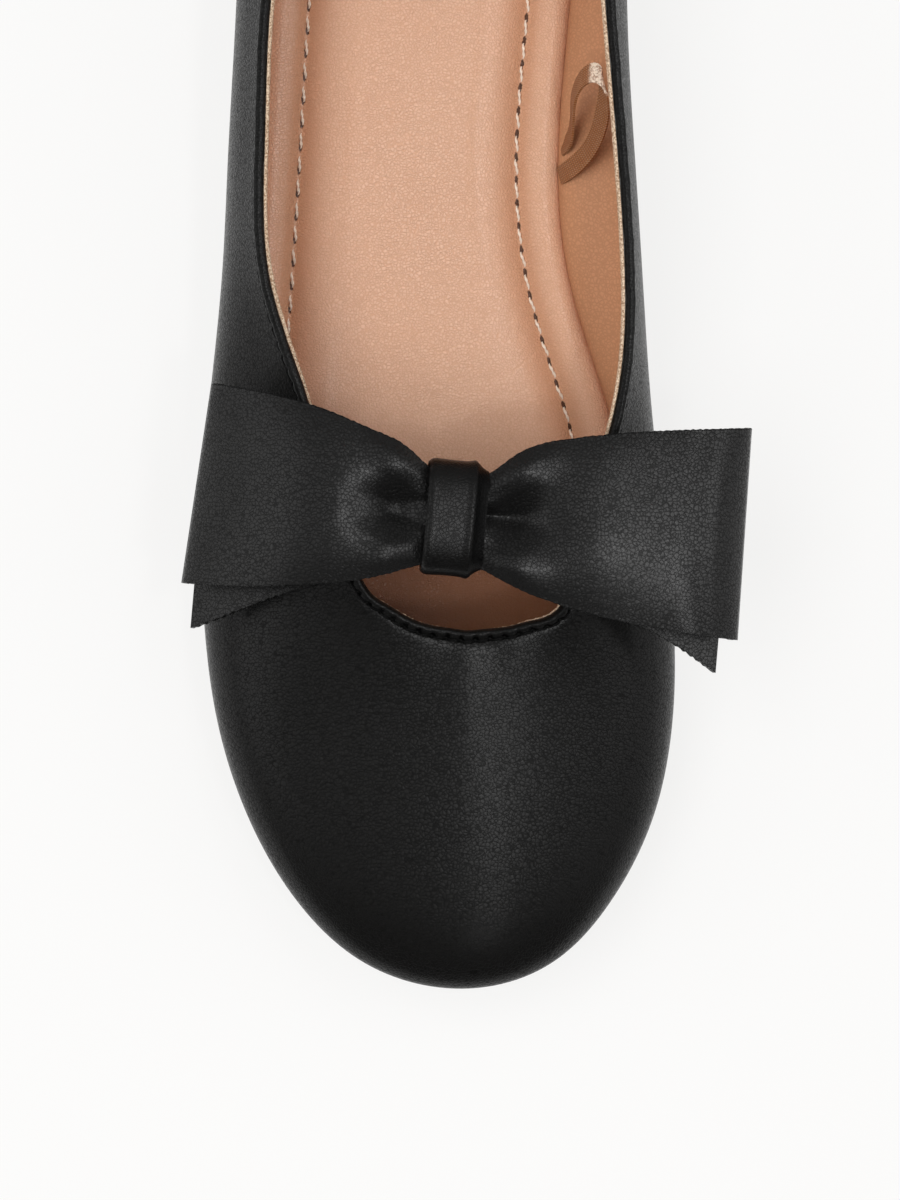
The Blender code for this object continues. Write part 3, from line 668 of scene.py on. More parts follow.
stitches = stitch_row_tree()
insole_outline = foot_outline(INSOLE_COLUMNS)
insole_edge = -(UPPER_WALL + 2 * FIT_GAP)
section = np.array(INSOLE_SECTION)
section_at = travelled(section)[:-1]
fine_section = spline(section_at, section, np.linspace(0, section_at[-1], 44))


def insole_base(y):
    return sole_top(y) + FIT_GAP


def panel_height(x, y):
    """The puffed middle swells and sinks a little, as foam under leather does."""
    swell = PANEL_SWELL * math.sin(x * 95 + 0.6) * math.sin(y * 46 + 1.1)
    return insole_base(y) + section[-1, 1] + swell * abs(math.sin(y * 21 + 0.4))


insole_rings = [
    ring(insole_outline, insole_edge - inset, lambda y, rise=rise: insole_base(y) + rise)
    for inset, rise in fine_section
]
seam_offsets = fine_section[:, 0] - INSOLE_STITCH_INSET

nude = Finish("insole_leather", Specular_IOR_Level=0.25)
seam = ring(insole_outline, insole_edge - INSOLE_STITCH_INSET, insole_base)
seam_length = travelled(seam)[-1]
insole_stitch_count = round(seam_length / INSOLE_STITCH_PITCH)
hidden = toward_toe(nude)
colour, height = leather_wear(
    nude, NUDE, NUDE_DEEP, size=0.00056, smooth=0.30, rough=0.50, gloss=0.44, dull=0.9 * hidden
)
# Painted shade: the leather is darkened beside the seam, in its groove.
beside = 1 - abs(nude.seam_map()[1]).rises(*SEAM_SHADE)
holes = needle_holes(nude, seam_length / insole_stitch_count, length=0.0020, width=0.0007)
colour = nude.mix(0.55 * beside, colour, SEAM_PAINTED_SHADE)
# Painted shade: the insole is darkened under the vamp.
colour = nude.mix(0.85 * hidden, colour, TOE_SHADE)
# Painted shade: the needle holes are painted dark brown.
nude.wear(Base_Color=nude.mix(holes, colour, HOLE_PAINTED_SHADE))
nude.relief(height - 3.0 * holes, depth=0.00010)
insole = stacked_piece(
    "padded_insole", insole_rings, lambda x, y: insole_base(y), panel_height, nude, seam_offsets
)
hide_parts("insole")
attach(insole, "root")

cream = Finish("cream_thread", Base_Color=(0.97, 0.84, 0.70, 1), Roughness=0.40)
cream.relief(cream.noise(0.0002, 2.0), 0.00004)
seam_up = np.tile((0.0, 0.0, 1.0), (INSOLE_COLUMNS, 1))
seam[:, 2] = insole_base(seam[:, 1]) + INSOLE_STITCH_HEIGHT
insole_stitches = stitch_row(
    "insole_stitches",
    seam,
    seam_up,
    cream,
    insole_stitch_count,
    Length=0.0029,
    Thread=0.00060,
    Arch=0.0011,
    Sink=0.00025,
    Slant=0.16,
    Twist=9.5,
)
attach(insole_stitches, "root")

# Upper
# One piece of black grained leather, drawn over the last and turned in under its edge. It is
# smooth on top, with faint lasting puckers along the sole and a closed seam at the back.
PEBBLE = 0.00066
BLACK = (0.0062, 0.0060, 0.0057)
BLACK_DEEP = (0.0028, 0.0027, 0.0026)
WALL_COLUMNS = 420
LEATHER = 0.0010
FLANGE = 0.0013
FLANGE_SETTLE = 0.00025
SEAM_PULL = 0.0008
SEAM_PULL_REACH = 0.0045
PUCKER_COUNT = 110
PUCKER_DEPTH = 0.00010
BACK_SEAM_WIDTH = 0.0005
BACK_SEAM_DEPTH = 0.00035

low_shares = np.linspace(0, 1, 11)
high_shares = 1 - (1 - np.linspace(0, 1, 47))**1.7
skin = wall_grid(WALL_COLUMNS, low_shares, high_shares)


def grid_normals(grid, closed_columns):
    """Normals of a grid of points, outwards for one that runs round and then up."""
    run = onward(grid) if closed_columns else np.gradient(grid, axis=0)
    return unit(np.cross(run, np.gradient(grid, axis=1)))


def grid_piece(name, grid, finish, closed_columns=False, closed_rows=False, u=None, v=None):
    """A piece from a grid of points. u and v are the seam map's values at each point."""
    columns, rows = grid.shape[:2]
    faces, corners = [], []
    if u is None:
        u = np.tile(travelled(grid[:, 0])[:, None], (1, rows + 1))
    if v is None:
        v = np.tile(np.linspace(0, 1, rows + 1), (columns + 1, 1))
    for c in range(columns if closed_columns else columns - 1):
        for r in range(rows if closed_rows else rows - 1):
            d, s = (c + 1) % columns, (r + 1) % rows
            faces.append((c * rows + r, d * rows + r, d * rows + s, c * rows + s))
            corners += [
                (u[c, r], v[c, r]),
                (u[c + 1, r], v[c + 1, r]),
                (u[c + 1, r + 1], v[c + 1, r + 1]),
                (u[c, r + 1], v[c, r + 1]),
            ]
    return piece(name, grid.reshape(-1, 3), faces, finish, (("seam", corners),))


def below_top(grid):
    """How far each point of the wall is from the topline, along the wall."""
    steps = np.linalg.norm(np.diff(grid, axis=1), axis=2)
    return np.append(np.cumsum(steps[:, ::-1], axis=1)[:, ::-1], np.zeros((len(grid), 1)), axis=1)


def smooth_step(value, low, high):
    share = np.clip((value - low) / (high - low), 0, 1)
    return share * share * (3 - 2 * share)


outward = grid_normals(skin, True)
depth_below = below_top(skin)
around = np.arange(WALL_COLUMNS)[:, None] / WALL_COLUMNS
rise = np.append(low_shares, 1 + high_shares[1:])[None, :]
settle = -FLANGE_SETTLE * (1 - smooth_step(depth_below, FLANGE, FLANGE + 0.0008))
settle -= SEAM_PULL * np.exp(-depth_below / SEAM_PULL_REACH)
pucker = -PUCKER_DEPTH * np.cos(2 * math.pi * PUCKER_COUNT * around + 1.3 * np.sin(40 * around))
pucker = pucker * (1 - smooth_step(rise, 0.15, 0.75))
seam_away = (skin[:, :, 0] / BACK_SEAM_WIDTH)**2
back_seam = -BACK_SEAM_DEPTH * np.exp(-seam_away) * (skin[:, :, 1] > 0)
face = skin + (settle + pucker + back_seam)[:, :, None] * outward
under_face = skin - LEATHER * outward
upper_grid = np.concatenate([face, under_face[:, ::-1]], axis=1)

black = Finish("upper_leather", Specular_IOR_Level=0.07)
colour, height = leather_wear(
    black, BLACK, BLACK_DEEP, size=PEBBLE, smooth=0.26, rough=0.46, gloss=0.36
)
black.wear(Base_Color=colour)
black.relief(height, depth=0.00012)
upper = grid_piece("upper_leather", upper_grid, black, True, True)
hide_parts("upper")
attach(upper, "root")

# Lining
# Nude leather inside the upper, glued to it all over, with painted shade on it under the vamp.
# Its raw cream edge shows inside the binding.
LINING_NUDE = (0.640, 0.325, 0.176)
LINING_DEEP = (0.510, 0.250, 0.127)
# Painted shade for the lining under the vamp.
LINING_TOE_SHADE = (0.180, 0.090, 0.050)
RAW_CREAM = (0.86, 0.68, 0.50)
RAW_DEEP = (0.40, 0.24, 0.14)
LINING_STANDS = 0.00060
LINING_STANDS_LEVEL = -0.00022
LINING_EDGE = 0.0006
LINING_GLUE = 0.00012
LINING_FRAY = 0.00010
RIM_MEETS = (0.0045, 0.0150)
RIM_PRESS = 0.0006
# The raw edge: how far in from the wall's face, and the share of the height that it stands.
LINING_LIP = ((0.00104, 0.30), (0.00106, 1.00), (0.00128, 1.06), (0.00150, 0.95))
# At the outer side in front, the edge is tucked away under the binding between these places.
TUCK_ACROSS = (-0.018, -0.004)
TUCK_ALONG = (-0.095, -0.080)

top_line = skin[:, -1]
wall_up = unit(skin[:, -1] - skin[:, -2])
edge_out = outward[:, -1]
lining_out = skin - (LEATHER + LINING_GLUE) * outward
lining_in = skin - UPPER_WALL * outward
column = np.arange(WALL_COLUMNS)
edge_noise = LINING_FRAY * np.sin(column * 2.4 + 2 * np.sin(column))
level = 1 - np.clip(wall_up[:, 2], 0, 1)
tucked = 1 - smooth_step(top_line[:, 0], *TUCK_ACROSS)
tucked *= 1 - smooth_step(top_line[:, 1], *TUCK_ALONG)
stand = (LINING_STANDS + LINING_STANDS_LEVEL * level) * (1 - tucked) + edge_noise
stand = stand[:, None] * wall_up
# Low down the lining curves in to meet the insole's rim.
foot_out = turn_in_plan(skin[:, 0, :2])[:, None]
above = lining_in[:, :, 2] - insole_base(lining_in[:, :, 1])
reach = np.sum((lining_in[:, :, :2] - skin[:, :1, :2]) * foot_out, axis=2)
curve_in = np.clip(reach - insole_edge + RIM_PRESS, 0, None) * (1 - smooth_step(above, *RIM_MEETS))
lining_in[:, :, :2] -= curve_in[:, :, None] * foot_out
lip = np.stack([top_line - inset * edge_out + share * stand for inset, share in LINING_LIP], axis=1)
lining_grid = np.concatenate([lining_out, lip, lining_in[:, ::-1]], axis=1)
lining = Finish("lining_leather", Specular_IOR_Level=0.35)
lining_v = [0 * depth_below, np.zeros(lip.shape[:2]), depth_below[:, ::-1], 0 * depth_below[:, :1]]
lining_v = np.concatenate(lining_v, axis=1)
lining_v = np.vstack([lining_v, lining_v[:1]])
lining_u = np.tile(travelled(top_line)[:, None], (1, lining_v.shape[1]))
raw = 1 - lining.seam_map()[1].rises(0.0, LINING_EDGE)
fibre = lining.noise(0.00035, 3.0)
tops = pebble(lining, 0.0007).rises(0.0, 0.3)
lined = lining.mix(0.7 * tops + 0.3 * fibre, LINING_DEEP, LINING_NUDE)
# Painted shade: the lining is darkened under the vamp.
lined = lining.mix(toward_toe(lining), lined, LINING_TOE_SHADE)
frayed = lining.mix(fibre.rises(0.35, 0.65), RAW_DEEP, RAW_CREAM)
lining.wear(Base_Color=lining.mix(raw, lined, frayed), Roughness=0.50 + 0.35 * raw)
lining.relief(0.4 * tops + 2.0 * (raw * fibre), 0.00008)
lining_piece = grid_piece("lining", lining_grid, lining, True, True, lining_u, lining_v)
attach(lining_piece, "root")

# Topline binding
# A narrow strip of the same black leather, folded over the edge so that it makes a round bead,
# and held by a row of black stitches along its lower side.
TOPLINE_PITCH = 0.0026
STITCH_LINE = 0.00112
STITCH_OUT = 0.00042
# Out from the wall and up from the topline, round the strip from its lower edge.
BINDING_SECTION = (
    (0.00000, -0.00150),
    (0.00034, -0.00156),
    (0.00048, -0.00136),
    (0.00044, -0.00112),
    (0.00054, -0.00088),
    (0.00074, -0.00050),
    (0.00080, -0.00008),
    (0.00068, 0.00034),
    (0.00034, 0.00064),
    (-0.00016, 0.00074),
    (-0.00064, 0.00060),
    (-0.00092, 0.00028),
    (-0.00088, 0.00004),
    (-0.00050, 0.00006),
    (0.00000, 0.00010),
)
# Black, for painted shade in the needle holes and on the knot's rolled edge, and for the bow's cut
# edges.
UNLIT = (0.0, 0.0, 0.0)
BINDING_STEPS = 36
BINDING_COLUMNS = 3 * WALL_COLUMNS
DENT = 0.00068
DENT_HALF_WIDTH = 0.00050
DENT_HALF_HEIGHT = 0.0007
BEAD_WANDER = 0.00005

ring_way = travelled(BINDING_SECTION)
ring_at = np.arange(BINDING_STEPS) / BINDING_STEPS
fine_ring = spline(ring_way[:-1] / ring_way[-1], BINDING_SECTION, ring_at, closed=True)
wall_at = np.arange(WALL_COLUMNS) / WALL_COLUMNS
bead_at = np.arange(BINDING_COLUMNS) / BINDING_COLUMNS
bead_line, bead_up, bead_out = (
    spline(wall_at, values, bead_at, closed=True)
    for values in (top_line, wall_up, unit(np.cross(unit(onward(top_line)), wall_up)))
)
stitch_path = bead_line + STITCH_OUT * bead_out - STITCH_LINE * bead_up
travel = travelled(stitch_path)
topline_count = round(travel[-1] / TOPLINE_PITCH)
topline_pitch = travel[-1] / topline_count
from_hole = ((travel[:-1] / topline_pitch) % 1 - 0.5) * topline_pitch
dent = DENT * np.exp(-(from_hole / DENT_HALF_WIDTH)**2)
wander = BEAD_WANDER * np.sin(travel[:-1] * 900) * np.sin(travel[:-1] * 310)


def bead_row(out, up):
    """One row of points along the bead, pulled in at the needle holes if it is on the face."""
    pulled = dent * (out > 0) * math.exp(-((up + STITCH_LINE) / DENT_HALF_HEIGHT)**2)
    return bead_line + (out + wander - pulled)[:, None] * bead_out + up * bead_up


binding_grid = np.stack([bead_row(out, up) for out, up in fine_ring], axis=1)
binding_u = np.tile(travel[:, None], (1, BINDING_STEPS + 1))
ring_v = np.append(fine_ring[:, 1], fine_ring[0, 1]) + STITCH_LINE
ring_v[np.append(fine_ring[:, 0], fine_ring[0, 0]) < 0] = 1.0
binding_v = np.tile(ring_v, (BINDING_COLUMNS + 1, 1))

bound = Finish("binding_leather", Specular_IOR_Level=0.08)
pricks = needle_holes(bound, topline_pitch, length=0.0015, width=0.0019)
colour, height = leather_wear(
    bound, BLACK, BLACK_DEEP, size=0.00050, smooth=0.28, rough=0.50, gloss=0.26, dull=pricks
)
# Painted shade: the needle holes are painted black.
bound.wear(Base_Color=bound.mix(1 - pricks, UNLIT, colour))
bound.relief(height - 4.0 * pricks, depth=0.00007)
binding = grid_piece("topline_bead", binding_grid, bound, True, True, binding_u, binding_v)
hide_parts("topline_binding")
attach(binding, "root")

black_thread = Finish(
    "black_thread", Base_Color=(0.003, 0.003, 0.003, 1), Roughness=0.60, Specular_IOR_Level=0.10
)
black_thread.relief(black_thread.noise(0.0002, 2.0), 0.00004)
topline_stitches = stitch_row(
    "topline_stitches",
    stitch_path,
    bead_out,
    black_thread,
    topline_count,
    Length=0.0020,
    Thread=0.00045,
    Arch=0.00050,
    Sink=0.00030,
    Slant=0.10,
    Twist=6.5,
)
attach(topline_stitches, "root")

# Bow
# Two strips of black grained leather, one folded into both loops and a shorter one behind it
# whose ends fan out, gathered in the middle by a band. The cut edges are left raw.
BOW_BLACK = (0.0088, 0.0086, 0.0084)
BOW_DEEP = (0.0052, 0.0051, 0.0050)
BOW_PEBBLE = 0.00066
BOW_LEATHER = 0.0011
RIBBON_WIDTH = 0.037
BOW_ALONG = 0.335
BOW_ACROSS = 0.0285
BOW_TURN = math.radians(-5.0)
BOW_LIFT = 0.04781
BOW_TILT = -0.10805
MEDIAL_REACH = 0.0512
LATERAL_REACH = 0.0458
MEDIAL_FALL = 0.0050
LATERAL_FALL = 0.0165
MEDIAL_SLANT = 0.014
LATERAL_SLANT = 0.050
LOOP_FULLNESS = 0.0034
GATHER_DEPTH = 0.0034
TAIL_MEDIAL_REACH = 0.0488
TAIL_LATERAL_REACH = 0.0435
TAIL_DROOP = 0.0022
MEDIAL_WING = (
    (.00, .205, -.205, .00, .24),
    (.12, .232, -.232, .00, .32),
    (.20, .322, -.280, -.05, .62),
    (.34, .405, -.345, -.20, .88),
    (.48, .447, -.388, -.36, 1.0),
    (.75, .505, -.433, -.50, 1.0),
    (.89, .530, -.447, -.48, .98),
    (1.0, .550, -.457, -.15, .80),
)
LATERAL_WING = (
    (.00, .205, -.205, .00, .24),
    (.13, .232, -.232, .00, .32),
    (.23, .313, -.275, .01, .60),
    (.34, .366, -.320, .04, .78),
    (.54, .446, -.365, .15, .90),
    (.74, .500, -.400, .45, .84),
    (1.0, .543, -.414, 1.0, .62),
)
MEDIAL_LOOP = (MEDIAL_WING, MEDIAL_REACH, MEDIAL_FALL, MEDIAL_SLANT, 1)
LATERAL_LOOP = (LATERAL_WING, LATERAL_REACH, LATERAL_FALL, LATERAL_SLANT, -1)
MEDIAL_TAIL = (
    (.00, .205, -.205),
    (.13, .210, -.210),
    (.30, .270, -.300),
    (.55, .310, -.380),
    (.78, .340, -.465),
    (1.0, .370, -.620),
)
LATERAL_TAIL = (
    (.00, .205, -.205),
    (.13, .210, -.210),
    (.30, .265, -.285),
    (.46, .290, -.350),
    (.65, .320, -.425),
    (.86, .350, -.545),
    (1.0, .370, -.625),
)
GATHERS = (
    (.00, .10),
    (.16, .28),
    (.27, 1.0),
    (.38, .64),
    (.50, .15),
    (.62, .03),
    (.85, .00),
    (2.0, .00),
)
VALLEY_HALF_WIDTH = 0.38
RIDGE_PLACE = 0.72
RIDGE_HALF_WIDTH = 0.28
RIDGE_SHARE = 0.35
FOLD_BLUNTNESS = 11.0
CROWN = 0.0024
LOOP_STEPS = 100
RIBBON_CROSS_STEPS = 52
# Fine creases beside the knot: place across the strip, half width there, depth in metres, how
# far along the strip each one dies out, and 1 for the inner loop or -1 for the outer one.
CREASES = (
    (0.04, 0.190, 0.00170, 0.0060, 1),
    (-0.48, 0.100, 0.00022, 0.0070, 1),
    (0.52, 0.100, 0.00022, 0.0070, 1),
    (-0.62, 0.090, 0.00016, 0.0065, -1),
    (-0.20, 0.110, 0.00040, 0.0085, -1),
    (0.24, 0.120, 0.00045, 0.0075, -1),
    (0.60, 0.090, 0.00014, 0.0060, -1),
)
FRAY = 0.00006
PINKING = 0.00026
PINKING_PITCH = 0.0014


def wing_values(table, stations):
    rows = np.array(table)
    return np.moveaxis(spline(rows[:, 0], rows[:, 1:], np.ravel(stations)), 1, 0)


def gathers(along, cross):
    """Height of the gathers beside the knot: a valley along the middle between two ridges.

    cross is the place across the loop, from -1 at its toeward edge to 1 at its heelward one.
    """
    rows = np.array(GATHERS)
    share = np.clip(np.abs(along) / RIBBON_WIDTH, 0, rows[-1, 0])
    depth = spline(rows[:, 0], rows[:, 1], share.ravel()).reshape(share.shape)
    valley = np.exp(-(cross / VALLEY_HALF_WIDTH)**2)
    ridge = RIDGE_SHARE * np.exp(-((np.abs(cross) - RIDGE_PLACE) / RIDGE_HALF_WIDTH)**2)
    return GATHER_DEPTH * np.clip(depth, 0, None) * (ridge - valley)


def creases(along, cross):
    """Fine creases that leave the knot and spread with the strip."""
    away = np.abs(along) - KNOT_WIDTH / 2
    depth = np.zeros_like(cross)
    for place, width, deep, reach, side in CREASES:
        drift = place + 0.10 * np.sin(along * 260 + 9 * place)
        fade = np.exp(-np.clip(away, 0, None) / reach) * (side * along > 0)
        depth -= deep * fade * np.exp(-((cross - drift) / width)**2)
    return depth


def reach_share(across, slant):
    """Share of its reach that a loop has at each place across it, because its fold is aslant."""
    return 1 - slant * (0.5 + across / RIBBON_WIDTH)


def ribbon_plan(edges, distance, slant, side, pinked=0.0):
    """Points along and across a strip from its two edges, at each distance from the knot.

    The cut edges wander a little, and a pinked toeward edge has small even teeth.
    """
    heelward, toeward = edges
    share = np.linspace(0, 1, RIBBON_CROSS_STEPS + 1)
    across = RIBBON_WIDTH * (toeward[:, None] * (1 - share) + heelward[:, None] * share)
    rough = np.sin(distance * 5200 + side) + 0.7 * np.sin(distance * 8700 + 2.0 * side)
    teeth = np.abs(2 * ((distance / PINKING_PITCH) % 1) - 1) - 0.5
    across[:, 0] += FRAY * rough + pinked * teeth
    across[:, 1] += 0.5 * pinked * teeth
    across[:, -1] -= FRAY * np.roll(rough, 3)
    return side * distance[:, None] * reach_share(across, slant), across


def wing_height(wing, along, across, layer, closing=1.0):
    """Height of a loop's top (layer 1) or back (layer -1) above the knot's middle."""
    table, reach, fall, slant, _ = wing
    stations = np.abs(along) / (reach * reach_share(across, slant))
    values = wing_values(table, stations).reshape(4, *np.shape(along))
    heelward, toeward, falling, fullness = values
    middle = -fall * falling + layer * LOOP_FULLNESS * fullness * closing
    cross = (2 * across / RIBBON_WIDTH - (heelward + toeward)) / (heelward - toeward)
    folds = gathers(along, cross)
    if layer > 0:
        middle = middle - CROWN * cross**2 * np.sin(math.pi * np.clip(stations, 0, 1))
        folds = folds + creases(along, cross)
    return middle + folds


def wing_layer(wing, stations, layer):
    """One layer of a loop in the bow's own frame: along, across and up from the knot's middle.

    The layers meet in the fold at the wing's end.
    """
    table, reach, _, slant, side = wing
    stations = np.asarray(stations)
    closing = np.sqrt(np.clip(1 - stations**FOLD_BLUNTNESS, 0, 1))[:, None]
    edges = wing_values(table, stations)[:2]
    along, across = ribbon_plan(edges, reach * stations, slant, side)
    return np.stack([along, across, wing_height(wing, along, across, layer, closing)], axis=2)


def loops_grid():
    """The strip that makes both loops, as a closed band round the path of its middle."""
    turns = np.linspace(0, math.pi / 2, LOOP_STEPS)
    out = 0.45 * turns / (math.pi / 2) + 0.55 * np.sin(turns)
    back = out[::-1]
    return np.concatenate([
        wing_layer(MEDIAL_LOOP, out, 1),
        wing_layer(MEDIAL_LOOP, back[1:-1], -1),
        wing_layer(LATERAL_LOOP, out, -1),
        wing_layer(LATERAL_LOOP, back[1:-1], 1),
    ])


def tail_half(wing, tail, tail_reach):
    """Half of the strip behind the loops: it fans out, lies under them and droops at its end."""
    side = wing[-1]
    stations = np.linspace(0, 1, LOOP_STEPS)
    rows = np.array(tail)
    edges = spline(rows[:, 0], rows[:, 1:], stations).T
    along, across = ribbon_plan(edges, tail_reach * stations, 0.0, side, pinked=PINKING)
    back = wing_height(wing, along, across, -1)
    step = BOW_LEATHER / 2
    slope_along = (wing_height(wing, along + side * step, across, -1) - back) / step
    slope_across = (
        wing_height(wing, along, across + step, -1) - wing_height(wing, along, across - step, -1)
    ) / (2 * step)
    steepness = np.sqrt(1 + slope_along**2 + slope_across**2)
    below = (BOW_LEATHER + 2 * FIT_GAP) * steepness + TAIL_DROOP * (stations**2)[:, None]
    return np.stack([along, across, back - below], axis=2)


def tails_grid():
    medial = tail_half(MEDIAL_LOOP, MEDIAL_TAIL, TAIL_MEDIAL_REACH)
    lateral = tail_half(LATERAL_LOOP, LATERAL_TAIL, TAIL_LATERAL_REACH)
    return np.concatenate([lateral[::-1], medial[1:]])


def bow_to_shoe(grid):
    """From the bow's own frame to the shoe's, where it rests on both sides of the topline."""
    turn_cos, turn_sin = math.cos(BOW_TURN), math.sin(BOW_TURN)
    along, across, up = np.moveaxis(grid, 2, 0)
    x = BOW_ACROSS * BALL_WIDTH + along * turn_cos - across * turn_sin
    y = along_to_y(BOW_ALONG) + along * turn_sin + across * turn_cos
    return np.stack([x, y, up + BOW_LIFT + BOW_TILT * along], axis=2)


def thicken(item, thickness, offset):
    """Gives an open sheet of leather its thickness, and keeps the result as a plain mesh."""
    shell = item.modifiers.new("wall", "SOLIDIFY")
    shell.thickness = thickness
    shell.offset = offset
    shell.use_even_offset = True
    shell.use_rim = True
    keep_made(item, shell)
    item.data.shade_smooth()
    item.data.set_sharp_from_angle(angle=math.radians(60))


# The band is a strip closed round the bow's middle, with a rolled edge at the inner side.
KNOT_BLACK = (0.0045, 0.0043, 0.0041)
KNOT_DEEP = (0.0032, 0.0031, 0.0030)
KNOT_WIDTH = 0.0106
KNOT_DEPTH = 0.0202
KNOT_HEIGHT = 0.0108
KNOT_SINK = 0.0010
KNOT_SQUARENESS = 2.7
KNOT_FLARE = 0.02
KNOT_STEPS = 160
KNOT_CROSS_STEPS = 44
# Share across the band, and how far its face stands above or below the plain band there.
KNOT_SECTION = (
    (-1.00, -0.00080),
    (-0.95, -0.00036),
    (-0.86, -0.00008),
    (-0.70, 0.00000),
    (0.28, 0.00000),
    (0.42, 0.00012),
    (0.52, 0.00026),
    (0.60, 0.00006),
    (0.68, -0.00050),
    (0.82, -0.00115),
    (1.00, -0.00170),
)


def knot_grid():
    """The band round the middle of the bow, a rounded oblong that is a little waisted."""
    turn = np.arange(KNOT_STEPS) * 2 * math.pi / KNOT_STEPS
    across, up = (
        np.sign(wave) * np.abs(wave)**(2 / KNOT_SQUARENESS) * size / 2
        for wave, size in ((np.cos(turn), KNOT_DEPTH), (np.sin(turn), KNOT_HEIGHT))
    )
    share = np.linspace(-1, 1, KNOT_CROSS_STEPS + 1)
    rows = np.array(KNOT_SECTION)
    swell = np.interp(share, rows[:, 0], rows[:, 1])
    swell = np.convolve(np.pad(swell, 1, mode="edge"), (0.25, 0.5, 0.25), mode="valid")
    flare = 1 + KNOT_FLARE * share**2
    face_out = turn_in_plan(np.stack([across, up], axis=1))
    along = np.broadcast_to(KNOT_WIDTH / 2 * share, (KNOT_STEPS, len(share)))
    cross = across[:, None] * flare + face_out[:, :1] * swell
    height = up[:, None] * flare + face_out[:, 1:] * swell - KNOT_SINK
    return np.stack([along, cross, height], axis=2)


def ribbon_leather(name, light, deep, *, depth, gloss, lip):
    """The bow's leather, darker and rough where the strip was cut.

    lip is the two shares across the strip between which its rolled edge turns dull, and is
    painted dark as shade.
    """
    finish = Finish(name, Specular_IOR_Level=0.12)
    across = finish.seam_map()[1]
    rolled = across.rises(*lip)
    colour, height = leather_wear(
        finish, light, deep, size=BOW_PEBBLE, smooth=0.27, rough=0.46, gloss=gloss, dull=rolled
    )
    cut = abs(across - 0.5).rises(0.486, 0.5)
    # The cut edges are darker, and the rolled lip is painted dark as shade.
    kept = (1 - 0.6 * cut) * (1 - 0.85 * rolled)
    finish.wear(Base_Color=finish.mix(kept, UNLIT, colour))
    finish.relief(height + 1.2 * (cut * finish.noise(0.0003, 3.0)), depth)
    return finish


bow_leather = ribbon_leather(
    "bow_leather", BOW_BLACK, BOW_DEEP, depth=0.00016, gloss=0.50, lip=(0.99, 1.0)
)
# Painted shade on the rolled edge at the band's inner side.
knot_leather = ribbon_leather(
    "knot_leather", KNOT_BLACK, KNOT_DEEP, depth=0.00005, gloss=0.22, lip=(0.74, 0.80)
)
for name, node_name, grid, closed, offset, finish in (
    ("bow_tails_leather", "bow_tails", tails_grid(), False, 0, bow_leather),
    ("bow_loops_leather", "bow_loops", loops_grid(), True, 0, bow_leather),
    ("bow_knot_leather", "bow_knot", knot_grid(), True, -1, knot_leather),
):
    columns, rows = grid.shape[:2]
    cross_share = np.tile(np.append(np.linspace(0, 1, rows), 1.0), (columns + 1, 1))
    part = grid_piece(name, bow_to_shoe(grid), finish, closed, v=cross_share)
    thicken(part, BOW_LEATHER, offset)
    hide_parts(node_name)
    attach(part, "root")

# Pull loop
# A loop of satin tape for hanging the shoes, sewn in between the insole and the lining at the
# inner side.
TAPE_WIDTH = 0.0035
TAPE_THICKNESS = 0.00045
TAPE_LIGHT = (0.42, 0.180, 0.070)
TAPE_DEEP = (0.15, 0.050, 0.016)
# Painted sheen: the glints on the weave and the highlight over the top fold.
TAPE_SHEEN = (1.00, 0.86, 0.70)
TAPE_RIB = 0.00060
TAPE_WARPS = 8
# The middle of the tape in the shoe's frame, and the direction of its width there.
TAPE_PATH = (
    ((0.0240, -0.0671, 0.0150), (0.05, -0.80, 0.60)),
    ((0.0251, -0.0655, 0.0190), (0.05, -0.80, 0.60)),
    ((0.0252, -0.0624, 0.0230), (0.05, -0.80, 0.60)),
    ((0.0250, -0.0596, 0.0270), (0.05, -0.80, 0.60)),
    ((0.0256, -0.0570, 0.0305), (0.00, -0.85, 0.50)),
    ((0.0271, -0.0554, 0.0335), (-0.05, -0.95, 0.20)),
    ((0.0289, -0.0557, 0.0350), (-0.05, -0.98, -0.05)),
    ((0.02985, -0.0584, 0.0340), (0.35, -0.80, 0.45)),
    ((0.02975, -0.0623, 0.0315), (0.55, -0.62, 0.55)),
    ((0.0289, -0.0663, 0.0270), (0.50, -0.65, 0.55)),
    ((0.0271, -0.0693, 0.0220), (0.35, -0.85, 0.35)),
    ((0.0248, -0.0713, 0.0175), (0.25, -0.90, 0.30)),
    ((0.0237, -0.0719, 0.0145), (0.20, -0.92, 0.30)),
)

tape_rows = np.array([[*middle, *across] for middle, across in TAPE_PATH])
tape_at = np.linspace(0, 1, len(tape_rows))
tape = spline(tape_at, tape_rows, np.linspace(0, 1, 90))
tape_middle, tape_across = tape[:, :3], unit(tape[:, 3:])
cross = np.linspace(-0.5, 0.5, 13)
tape_grid = tape_middle[:, None] + cross[None, :, None] * TAPE_WIDTH * tape_across[:, None]
fold_at = float(travelled(tape_grid[:, 0])[np.argmax(tape_middle[:, 2])])
satin = Finish("satin_tape", Roughness=0.40, Specular_IOR_Level=0.18)
weft, warp = satin.seam_map()
ribs = weft.math("SINE", weft * (2 * math.pi / TAPE_RIB))
threads = warp.math("SINE", warp * (2 * math.pi * TAPE_WARPS))
weave = 0.5 + 0.25 * ribs + 0.25 * threads
